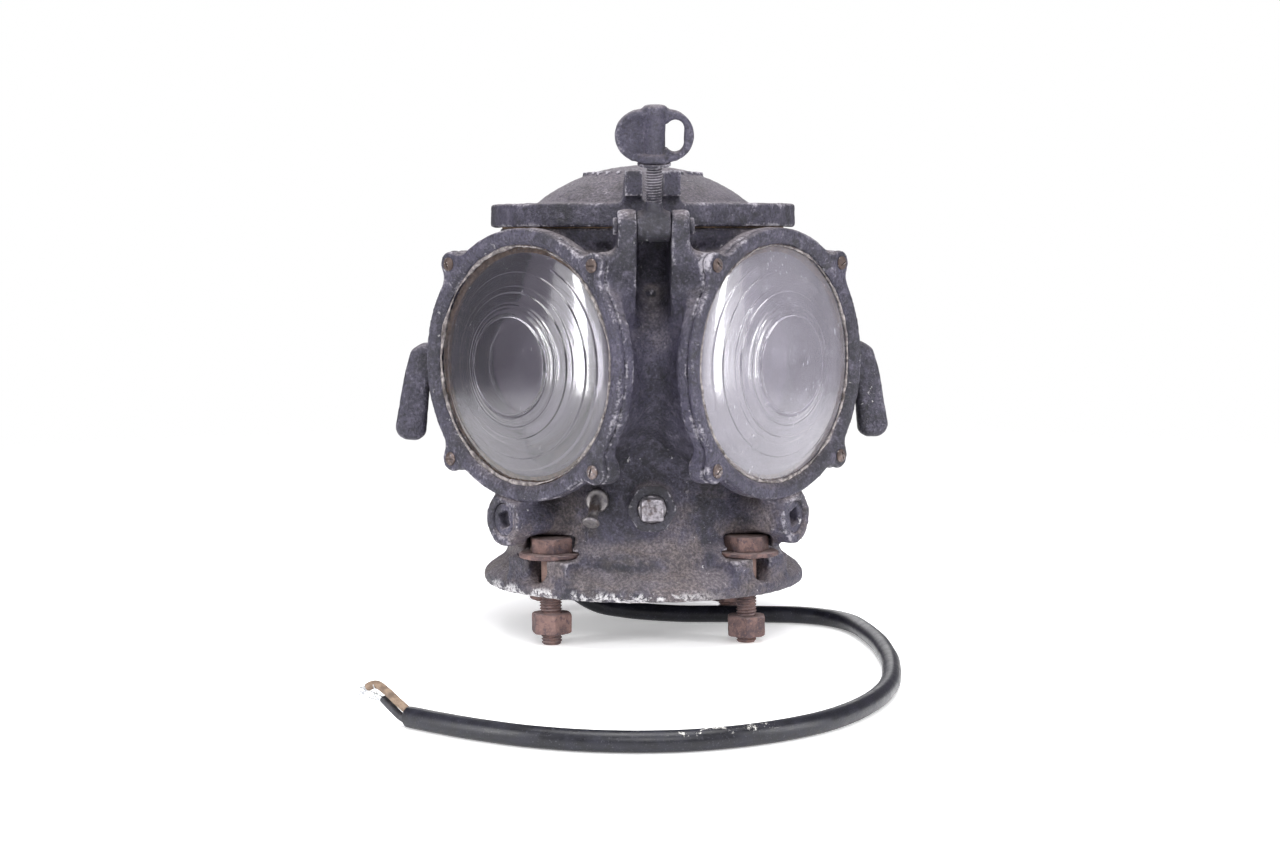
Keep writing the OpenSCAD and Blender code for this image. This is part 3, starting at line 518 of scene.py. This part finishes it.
def cast(name, nodes, body, material, slot, voxel, fill=0.0, ease=0.0, rounds=2, coarse=0.0, fine=0.0,
         shape=None):
    """One piece that stands for CAD nodes, with the soft corners and the skin of a casting."""
    low = np.min([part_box(n)[0] for n in nodes], axis=0)
    high = np.max([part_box(n)[1] for n in nodes], axis=0)
    clay = Clay(low, high, voxel)
    field = None
    for node in nodes:
        one = clay.field(closed(node_mesh(node), voxel, fill, ease))
        field = one if field is None else np.minimum(field, one)
    if shape:
        field = shape(clay, field)
    mesh = relax(clay.skin(field), rounds)
    if coarse or fine:
        mesh = roughen(mesh, coarse, fine)
    return piece(name, *mesh, material, body, slot, *nodes)


def wrapped(segments, rows):
    """Quads of a grid of points that closes on itself round its first axis."""
    i, j = np.meshgrid(np.arange(segments), np.arange(rows - 1), indexing="ij")
    a, b = i * rows + j, ((i + 1) % segments) * rows + j
    return np.stack([a, b, b + 1, a + 1], 2).reshape(-1, 4)


def lathe(profile, segments=128):
    """A surface turned round local Z from (radius, height) points, as points and quads."""
    radii, heights = np.array(profile).T
    turn = np.linspace(0, 2 * math.pi, segments, endpoint=False)[:, None]
    points = np.stack([radii * np.cos(turn), radii * np.sin(turn),
                       np.broadcast_to(heights, (segments, len(profile)))], 2).reshape(-1, 3)
    return points, wrapped(segments, len(profile))


def hexagon(x, y, across):
    """Signed distance to a hexagon of this size across its flats."""
    return np.maximum.reduce([np.abs(x * math.cos(a) + y * math.sin(a))
                              for a in (math.pi / 6, math.pi / 2, math.pi * 5 / 6)]) - across / 2


def thread(radius, pitch, low, high, depth_share=0.54, segments=48, rows_per_turn=8):
    """A screwed rod along local Z, with a chamfer at its high end and closed at both."""
    rows = int((high - low) / pitch * rows_per_turn)
    z = np.linspace(low, high, rows)
    turn = np.linspace(0, 2 * math.pi, segments, endpoint=False)
    phase = (z[None] / pitch - turn[:, None] / (2 * math.pi)) % 1
    tooth = np.clip(np.abs(phase * 2 - 1) * 1.35 - 0.15, 0, 1)
    r = radius - depth_share * pitch * (1 - tooth)
    ends = np.clip(np.minimum(z - low, high - z) / (0.7 * pitch), 0, 1)[None]
    r = np.minimum(r, radius - 0.6 * pitch * (1 - ends))
    r = np.concatenate([np.zeros((segments, 1)), r, np.zeros((segments, 1))], 1)
    z = np.concatenate([[low], z, [high]])
    points = np.stack([r * np.cos(turn)[:, None], r * np.sin(turn)[:, None], np.broadcast_to(z, r.shape)], 2)
    return points.reshape(-1, 3), wrapped(segments, len(z))

# ---------------------------------------------------------------- cable

# Routes in millimetres
CABLE_R, CORE_R, LEAD_R, STRAND_R = 0.0055, 0.0022, 0.0016, 0.00032
TAN_POINTS = 25  # of the tan core's line, as far as its stripped end
CABLE_ROUTE = [(-59, 12, 82), (-59, 12, 70), (-59, 12, 57), (-55, 12, 38), (-45, 12, 22.5), (-30, 12, 12.5),
               (-12, 12, 8.5), (8, 11, 6.5), (28, 10, 5.5), (48, 8.5, 5.5), (66, 6.5, 5.5), (82, 4.5, 5.5),
               (98, 1.5, 5.5), (112, -6, 5.5), (123, -18, 5.5), (130, -34, 5.5), (133, -52, 5.5),
               (135, -76, 5.5), (136, -102, 5.5), (135, -130, 5.5), (133, -158, 5.5), (129, -186, 5.5),
               (124, -213, 5.5), (116, -240, 5.5), (105, -266, 5.5), (91, -290, 5.5), (74, -311, 5.5),
               (53, -328, 5.5), (29, -341, 5.5), (3, -349, 5.5), (-24, -350, 5.5), (-51, -345, 5.5),
               (-77, -334, 5.5), (-101, -318, 5.5), (-120, -302, 5.5), (-136, -287, 5.5)]
TAN_ROUTE = [(-136, -287, 8), (-142, -281, 12), (-148, -274, 16), (-153.5, -268, 18.5), (-158.5, -265, 16.5),
             (-161.5, -264, 12)]
BLACK_ROUTE = [(-136, -287, 3), (-141, -282, 5), (-146, -276, 8.5), (-150, -271, 11.5)]
LIVE_ROUTE = [(-59, 14, 98), (-56, 16, 106), (-48, 26, 112), (-36, 36, 112), (-27, 40, 108)]
NEUTRAL_ROUTE = [(-59, 9, 98), (-52, 8, 105), (-38, 12, 108), (-18, 24, 108), (-9, 36, 108)]


def smooth_line(route, steps=6):
    """A smooth line in metres through points in millimetres."""
    p = [Vector(q) * MM for q in route]
    p = [2 * p[0] - p[1]] + p + [2 * p[-1] - p[-2]]
    line = []
    for i in range(1, len(p) - 2):
        for s in range(steps):
            t = s / steps
            line.append(0.5 * (2 * p[i] + (p[i + 1] - p[i - 1]) * t
                               + (2 * p[i - 1] - 5 * p[i] + 4 * p[i + 1] - p[i + 2]) * t * t
                               + (3 * p[i] - p[i - 1] - 3 * p[i + 1] + p[i + 2]) * t ** 3))
    return line + [p[-2]]


def curve(name, radius, resolution):
    data = bpy.data.curves.new(name, "CURVE")
    data.dimensions = "3D"
    data.bevel_depth, data.bevel_resolution, data.use_fill_caps = radius, resolution, True
    return data


def tube(name, line, radius, material, body, slot, *nodes):
    data = curve(name, radius, 6)
    spline = data.splines.new("POLY")
    spline.points.add(len(line) - 1)
    for point, place in zip(spline.points, line):
        point.co = (*place, 1)
    spline.use_smooth = True
    return link(name, data, material, body, nodes)


cable_line = smooth_line(CABLE_ROUTE)
cable = tube("cable_sheath", cable_line, CABLE_R, RUBBER, "lamp", "black_rubber", "cable")
tan_core = tube("core_tan_insulation", smooth_line(TAN_ROUTE)[:TAN_POINTS], CORE_R, TAN, "lamp",
                "core_tan", "cable_core_tan")
black_core = tube("core_black_insulation", smooth_line(BLACK_ROUTE), CORE_R, BLACK_CORE_MAT, "lamp",
                  "core_black", "cable_core_black")


def strands(name, start, heading, count, reach, spread):
    """Tinned wire strands that fan out of a core's stripped end."""
    heading = Vector(heading).normalized()
    side = heading.cross(Vector((0, 0, 1))).normalized()
    over = heading.cross(side)
    data = curve(name, STRAND_R, 2)
    for n in range(count):
        a = 2 * math.pi * n / count
        out = side * math.cos(a) + over * math.sin(a)
        bend = Vector(RNG.normal(0, 1, 3)) * spread
        spline = data.splines.new("POLY")
        spline.points.add(7)
        for j, point in enumerate(spline.points):
            t = j / 7
            place = Vector(start) + heading * reach * t * (0.8 + 0.2 * math.sin(n)) + out * 0.0010 * (1 + t) \
                + bend * t * t
            place.z = max(place.z, 0.0006)
            point.co = (*place, 1)
    return link(name, data, TINNED, "lamp", ())


tan_wires = strands("tan_strands", (-0.1582, -0.2651, 0.0166), (-0.75, 0.2, -0.5),
                    count=13, reach=0.0068, spread=0.0014)
black_wires = strands("black_strands", (-0.1494, -0.2716, 0.0112), (-0.8, 0.45, 0.2),
                      count=11, reach=0.0105, spread=0.0016)

# ---------------------------------------------------------------- castings

def blend(z, low, high):
    """From 0 at low to 1 at high, with a smooth step."""
    t = np.clip((z - low) / (high - low), 0, 1)
    return t * t * (3 - 2 * t)


def housing():
    """The body casting, with wider fillets between its neck and its mouth."""
    voxel, tight_fill, wide_fill = 0.0013, 0.0048, 0.0088
    neck, mouth = (0.098, 0.112), (0.236, 0.242)
    seat_r, seat_h, hole_r, slack, head_room = 0.0212, 0.0042, 0.0071, 0.001, 0.64
    low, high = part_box("housing")
    clay = Clay(low, high, voxel)
    source = node_mesh("housing")
    tight = clay.field(closed(source, voxel, tight_fill))
    wide = clay.field(closed(source, voxel, wide_fill))
    upper = blend(clay.z, *neck) * (1 - blend(clay.z, *mouth))
    field = tight + (wide - tight) * upper
    for angle in CORNERS.values():
        x, y, z = local(clay, at_bolt(angle))
        out = np.hypot(x, y)
        seat = np.maximum(out - seat_r, np.maximum(BOSS_TOP - z, z - BOSS_TOP - seat_h))
        room = np.maximum(out - HEAD_AF * head_room, np.maximum(BOSS_TOP - z, z - HEAD_Z - HEAD_H - slack))
        hole = np.maximum(out - hole_r, z - BOSS_TOP - slack)
        field = np.maximum(field, -np.minimum(np.minimum(seat, room), hole))
    # Two cast pips in the channel below the latch
    for z, r in ((0.2157, 0.0033), (0.2024, 0.0037)):
        pip = np.sqrt(clay.x ** 2 + (clay.z - z) ** 2 + ((clay.y + 0.0835) / 1.6) ** 2) - r
        field = np.minimum(field, pip)
    mesh = roughen(relax(clay.skin(field), 3), 0.00030, 0.00022)
    return piece("housing_casting", *mesh, CAST, "lamp", "cast_paint", "housing")


housing()


def lid_marks(clay, field):
    """A ring of small plain raised marks round the dome."""
    dome_r, dome_h, dome_z, count, r = 67.5, 24.5, 269, 32, 0.034
    ball_r = (dome_r ** 2 + dome_h ** 2) / (2 * dome_h) * MM
    ball_z = (dome_z + dome_h) * MM - ball_r
    for n in range(count):
        a = 2 * math.pi * (n + 0.5) / count
        x, y = r * math.cos(a), r * math.sin(a)
        z = ball_z + math.sqrt(ball_r ** 2 - r * r)
        tall = 0.0034 if n % 3 else 0.0022
        dx, dy = clay.x - x, clay.y - y
        along = dx * math.cos(a) + dy * math.sin(a)
        across = -dx * math.sin(a) + dy * math.cos(a)
        along = along - np.clip(along, -tall, tall)
        mark = np.sqrt(along ** 2 + across ** 2 + ((clay.z - z) * 0.7) ** 2) - 0.0011
        field = np.minimum(field, mark)
    return field


cast("lid_casting", ["lid"], "lid", LID, "cast_paint", voxel=0.0009, fill=0.003, rounds=1,
     coarse=0.0002, fine=0.00018, shape=lid_marks)


def hook_mark(clay, field):
    """A small round mark on the front of the right hook."""
    x, y, z, mark_r, half_thick = 0.1435, 0.0068, 0.1593, 0.0026, 0.0008
    out = np.hypot(clay.x - x, clay.z - z)
    rim = np.sqrt((out - mark_r) ** 2 + (clay.y + y) ** 2) - half_thick
    return np.minimum(field, rim)


for corner in CORNERS:
    cast(f"ring_{corner}", [f"lens_ring_{corner}"], "lamp", RING, "cast_paint",
         voxel=0.0009, fill=0.0088, ease=0.0005, coarse=0.00016, fine=0.00014)
for side in ("left", "right"):
    cast(f"hook_{side}", [f"hand_hook_{side}"], "lamp", HOOK, "cast_paint", voxel=0.0009, fill=0.004,
         ease=0.0035, coarse=0.00022, fine=0.00012, shape=hook_mark if side == "right" else None)
    cast(f"plug_{side}", [f"side_plug_{side}"], "lamp", FITTING, "fitting_paint",
         voxel=0.0006, fill=0.0006, ease=0.0006, coarse=0.0001, fine=0.0001)
cast("bushing_front", ["front_bushing"], "lamp", BUSHING, "fitting_paint",
     voxel=0.0005, ease=0.0003, rounds=1, coarse=0.0001, fine=0.00012)
cast("plug_front", ["front_plug"], "lamp", WORN, "worn_steel",
     voxel=0.0005, fill=0.0006, ease=0.0012, coarse=0.0001, fine=0.00008)
cast("drain", ["drain_fitting"], "lamp", ZINC, "worn_steel",
     voxel=0.0005, fill=0.0012, ease=0.0004, coarse=0.0001, fine=0.0001)
cast("washers_base", ["base_washers"], "lamp", RUST, "rusty_steel",
     voxel=0.0005, ease=0.0004, rounds=1, coarse=0.00012, fine=0.0001)
for name, node in (("latch_pin", "swing_bolt_pin"), ("hinge_pin", "lid_hinge_pin")):
    cast(name, [node], "lamp", LATCH_STEEL, "fitting_paint",
         voxel=0.0006, fill=0.0005, ease=0.0008, coarse=0.0001, fine=0.0001)
cast("washer_nut", ["nut_washer"], "nut_washer", LATCH_STEEL, "worn_steel",
     voxel=0.0005, ease=0.0005, rounds=1)


def thumb_nut_shape(clay, field):
    """The thin-walled hub round the thread, put back after the soft corners."""
    x, y, z = local(clay, ON_BOLT)
    round_it = np.hypot(x, y)
    hub_r, bore_r, top_drop, roof = 0.0063, 0.00505, 0.0008, 0.0030
    hub = np.maximum(round_it - hub_r, np.maximum(NUT_BASE - z, z - NUT_TOP + top_drop))
    bore = np.maximum(round_it - bore_r, z - (NUT_TOP - roof))
    return np.maximum(np.minimum(field, hub), -bore)


cast("thumb_nut_forging", ["thumb_nut"], "thumb_nut", FITTING, "fitting_paint",
     voxel=0.0005, fill=0.0024, ease=0.0016, coarse=0.00014, fine=0.0001, shape=thumb_nut_shape)

# ---------------------------------------------------------------- screwed parts

def swing_bolt():
    """The T-shaped end from the CAD solid, with its stem cut down and a threaded rod on it."""
    voxel = 0.0005
    low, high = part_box("swing_bolt")
    clay = Clay(low, high, voxel)
    field = clay.field(closed(node_mesh("swing_bolt"), voxel, 0.002, 0.0008))
    height = local(clay, ON_BOLT)[2]
    field = np.maximum(field, height - (STEM_LOW + 0.004))
    body = relax(clay.skin(field), 2)
    stem = moved(ON_BOLT, thread(STEM_R, STEM_PITCH, STEM_LOW + 0.002, STEM_TOP))
    return piece("swing_bolt_forging", *join(roughen(body, 0.0001, 0.0001), stem), LATCH_STEEL, "swing_bolt",
                 "fitting_paint", "swing_bolt")


swing_bolt()


def bolt_mesh():
    """A base bolt with a chamfered hexagon head, a plain shank and a screwed end."""
    clay = Clay((-0.015, -0.015, HEAD_Z - 0.001), (0.015, 0.015, HEAD_Z + HEAD_H), 0.0004)
    x, y, z = clay.x, clay.y, clay.z - HEAD_Z
    turn = math.radians(20)
    hexa = hexagon(x * math.cos(turn) + y * math.sin(turn), -x * math.sin(turn) + y * math.cos(turn),
                   HEAD_AF)
    cone = (np.hypot(x, y) - (HEAD_AF * 0.5 + (HEAD_H + 0.0008 - z) * 0.8)) * 0.8
    head = relax(clay.skin(np.maximum(np.maximum(hexa, cone), np.maximum(-z, z - HEAD_H))), 1)
    plain_low, plain_r = 0.0345, BOLT_R - 0.0002
    shank = lathe([(0, 0.034), (BOLT_R - 0.0004, 0.034), (plain_r, plain_low), (plain_r, HEAD_Z),
                   (0, HEAD_Z)], 48)
    rod = thread(BOLT_R, BOLT_PITCH, 0.0, plain_low)
    return join(roughen(head, 0.00014, 0.00014), outward(*shank), rod)


def nut_mesh():
    """A base nut with both faces chamfered and a plain bore."""
    clay = Clay((-0.014, -0.014, 0), (0.014, 0.014, NUT_H), 0.0004)
    x, y, z = clay.x, clay.y, clay.z
    hexa = hexagon(x, y, NUT_AF)
    low = np.minimum(z, NUT_H - z)
    cone = (np.hypot(x, y) - (NUT_AF * 0.5 + 0.0002 + low * 1.5)) * 0.6
    bore = BOLT_R - 0.0006 - np.hypot(x, y)
    field = np.maximum(np.maximum(np.maximum(hexa, cone), -low), bore)
    return roughen(relax(clay.skin(field), 1), 0.00014, 0.00014)


def spun(matrix, degrees, z=0.0):
    return matrix @ Matrix.Translation((0, 0, z)) @ Matrix.Rotation(math.radians(degrees), 4, "Z")


bolt, nut = bolt_mesh(), nut_mesh()
piece("bolts_base", *join(*(moved(at_bolt(a), bolt) for a in CORNERS.values())), RUST, "lamp",
      "rusty_steel", "base_bolts")
piece("nuts_base", *join(*(moved(spun(at_bolt(a), 25 + 17 * i, NUT_LOWS[i]), nut)
                           for i, a in enumerate(CORNERS.values()))), RUST, "lamp", "rusty_steel", "base_nuts")


def screw_mesh(shank):
    """Slotted round head with its seat at local Z nought."""
    clay = Clay((-0.0045, -0.0045, -0.0005), (0.0045, 0.0045, 0.0027), 0.00022)
    x, y, z = clay.x, clay.y, clay.z
    ball_r, dome_top, head_r, slot_half, slot_floor = 0.0055, 0.0026, 0.0042, 0.00055, 0.0013
    ball = np.sqrt(x * x + y * y + (z - dome_top + ball_r) ** 2) - ball_r
    field = np.maximum(np.maximum(ball, np.hypot(x, y) - head_r), -z)
    slot = np.maximum(np.abs(x) - slot_half, slot_floor - z)
    head = relax(clay.skin(np.maximum(field, -slot)), 1)
    return join(head, outward(*lathe([(0, -shank), (0.0021, -shank), (0.0021, 0.0003), (0, 0.0003)], 24)))


screw = screw_mesh(0.014)
screws = [moved(at_lens(angle)
                @ Matrix.Translation((sx * SCREW_PITCH, sy * SCREW_PITCH, LENS_FACE + RING_T))
                @ Matrix.Rotation(math.radians(35 * sx + 50 * sy + 33 * n), 4, "Z"), screw)
          for n, angle in enumerate(CORNERS.values()) for sx in (-1, 1) for sy in (-1, 1)]
piece("ring_screws", *join(*screws), SCREW, "lamp", "rusty_steel", "lens_ring_screws")

# ---------------------------------------------------------------- lenses

def lens_profile():
    """Half section of a lens: stepped convex front, then its rim, then a dished back."""
    radii = np.concatenate([np.linspace(0, 28, 20), np.linspace(28.3, 38.5, 56), np.linspace(39, 42.8, 8),
                            np.linspace(43.1, 49.5, 36), np.linspace(50, 54.8, 8), np.linspace(55.1, 58.5, 20),
                            np.linspace(59.2, 70.5, 26)])
    front = 12.2 * (1 - (radii / 71.7) ** 2) ** 0.8
    for at, rise, width in ((28.9, 1.5, 0.9), (34.8, 0.5, 1.6), (43.4, 1.0, 0.9), (47.0, 0.35, 1.2),
                            (55.5, 0.7, 0.9), (62.5, 0.25, 0.8)):
        front = front + rise * (1 - blend(radii, at, at + width))
    for at, rise, width in ((31.6, 0.45, 1.5), (37.0, 0.25, 0.9)):
        front = front + rise * np.exp(-((radii - at) / width) ** 2)
    front = front * 15.4 / front[0]
    rim = [(71.7, 0.2), (72.2, 0), (74.2, 0), (74.5, -0.3), (74.5, -5.7), (74.2, -6), (66, -6)]
    back = [(64, -5.7), (56, -3.4), (45, -0.6), (30, 2.2), (15, 3.8), (0, 4.3)]
    return [(r * MM, LENS_FACE + z * MM) for r, z in list(zip(radii, front)) + rim + back]


lens_shape = outward(*lathe(lens_profile(), 160))
for corner, angle in CORNERS.items():
    look = {"front_left": CLEAR, "front_right": DUSTY}.get(corner, GRIMY)
    piece(f"glass_{corner}", *moved(at_lens(angle), lens_shape), look, "lamp", "lens_glass", f"lens_{corner}")


def putty_bead(seed):
    """An uneven bead of old putty in the corner between the ring and the glass."""
    rounds, sides = 360, 10
    angle = np.linspace(0, 2 * math.pi, rounds, endpoint=False)
    ring = np.stack([np.cos(angle), np.sin(angle), np.full(rounds, float(seed))], 1)
    thick = 0.0010 + 0.0009 * lumps(ring * 0.071, 0.019) + 0.0004 * lumps(ring * 0.071 + 5, 0.0035)
    thick = np.clip(thick, 0.0003, 0.0022)
    wander = 0.0004 * lumps(ring * 0.071 + 9, 0.007)
    section = np.linspace(0, 2 * math.pi, sides, endpoint=False)
    r = (RING_OPEN - 0.0004 + wander)[:, None] + thick[:, None] * np.cos(section)[None]
    z = LENS_FACE + 0.0014 + 0.9 * thick[:, None] * np.sin(section)[None]
    points = np.stack([r * np.cos(angle)[:, None], r * np.sin(angle)[:, None], z], 2).reshape(-1, 3)
    i, j = np.meshgrid(np.arange(rounds), np.arange(sides), indexing="ij")
    a, b = i * sides + j, ((i + 1) % rounds) * sides + j
    c, d = ((i + 1) % rounds) * sides + (j + 1) % sides, i * sides + (j + 1) % sides
    quads = np.stack([a, b, c, d], 2).reshape(-1, 4)
    return points + normals((points, quads)) * (0.00025 * lumps(points, 0.0012))[:, None], quads


beads = [moved(at_lens(angle), outward(*putty_bead(n))) for n, angle in enumerate(CORNERS.values())]
piece("putty_beads", *join(*beads), PUTTY, "lamp", "gasket")

# ---------------------------------------------------------------- kept CAD nodes

KEPT = {"lid_gasket": GASKET, "bulkhead": SHEET, "bulkhead_screws": BRASS, "lamp_socket": PORCELAIN,
        "bulb_base": BRASS, "bulb_glass": BULB, "terminal_block": BAKELITE, "terminal_screws": BRASS,
        "cable_bushing": RUBBER}
KEPT.update({f"lens_gasket_{corner}": GASKET for corner in CORNERS})
for name, material in KEPT.items():
    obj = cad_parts[name]
    obj.data.materials.clear()
    obj.data.materials.append(material)
    if name != "bulb_glass":
        bevel = obj.modifiers.new("edges", "BEVEL")
        bevel.width, bevel.segments, bevel.limit_method = 0.0004, 2, "ANGLE"
        bevel.angle_limit = math.radians(40)
tube("lead_live_wire", smooth_line(LIVE_ROUTE), LEAD_R, TAN, "lamp", "core_tan", "lead_live")
tube("lead_neutral_wire", smooth_line(NEUTRAL_ROUTE), LEAD_R, BLACK_CORE_MAT, "lamp", "core_black",
     "lead_neutral")

# ---------------------------------------------------------------- studio

def softbox(name, place, target, size, power):
    data = bpy.data.lights.new(name, "AREA")
    data.shape, data.size, data.size_y = "RECTANGLE", size[0], size[1]
    data.energy = power
    lamp = bpy.data.objects.new(name, data)
    lamp.matrix_world = aimed(place, target)
    bpy.context.collection.objects.link(lamp)


def around(azimuth, distance, height):
    """A place round the lamp, with azimuth nought at its front."""
    a = math.radians(azimuth)
    return (math.sin(a) * distance, -math.cos(a) * distance, height)


for side, azimuth in (("left", -60), ("right", 62)):
    softbox(side + "_strip", around(azimuth, 1.48, 0.42), (0, 0, 0.15), size=(0.15, 1.1), power=10)
    softbox(side + "_box", around(azimuth, 1.56, 0.42), (0, 0, 0.15), size=(0.75, 1.3), power=8)
softbox("top_box", (0, -0.35, 1.6), (0, 0, 0.1), size=(1.3, 1.0), power=30)
softbox("front_fill", (0.1, -2.2, 1.3), (0, 0, 0.15), size=(1.4, 1.0), power=30)
softbox("back_fill", (0.0, 2.0, 1.0), (0, 0, 0.15), size=(1.4, 1.0), power=12)

# The background is white to the camera, and a dim lilac-white to everything that it lights
world = bpy.data.worlds.new("studio")
bpy.context.scene.world = world
world.use_nodes = True
tree = world.node_tree
tree.nodes.clear()
rays = tree.nodes.new("ShaderNodeLightPath")
seen, lit = (tree.nodes.new("ShaderNodeBackground") for _ in range(2))
seen.inputs["Color"].default_value, seen.inputs["Strength"].default_value = (1, 1, 1, 1), 1.0
lit.inputs["Color"].default_value, lit.inputs["Strength"].default_value = (0.95, 0.93, 1.0, 1), 0.24
choose, out = tree.nodes.new("ShaderNodeMixShader"), tree.nodes.new("ShaderNodeOutputWorld")
tree.links.new(rays.outputs["Is Camera Ray"], choose.inputs[0])
tree.links.new(lit.outputs[0], choose.inputs[1])
tree.links.new(seen.outputs[0], choose.inputs[2])
tree.links.new(choose.outputs[0], out.inputs[0])
bpy.context.scene.view_settings.view_transform = "Standard"
bpy.context.scene.view_settings.look = "None"
bpy.context.scene.view_settings.exposure = 0.0


def floor():
    """A pale round floor that fades out into the white background."""
    radius, low, corners = 1.9, -0.0002, 96
    mesh = bpy.data.meshes.new("floor")
    turns = [2 * math.pi * i / corners for i in range(corners)]
    mesh.from_pydata([(radius * math.cos(a), radius * math.sin(a), low) for a in turns], [],
                     [list(range(corners))])
    obj = bpy.data.objects.new("floor", mesh)
    bpy.context.collection.objects.link(obj)
    k = Look("floor_paper")
    x, y = k.axes()[:2]
    away = k.calc("SQRT", k.add(k.mul(x, x), k.mul(y, y)))
    k.put(k.shader.inputs["Alpha"], k.ramp(away, 0.5, 1.5, 1, 0))
    tone = k.mix(k.ramp(k.noise(3, 3), 0.3, 0.7), srgb(246, 246, 247), srgb(250, 250, 250))
    k.put(k.shader.inputs["Emission Color"], (1, 1, 1, 1))
    k.put(k.shader.inputs["Emission Strength"], 0.32)
    mesh.materials.append(k.done(tone, 0.9, k.bump(k.noise(500, 3), 0.0001, strength=0.2)))


floor()
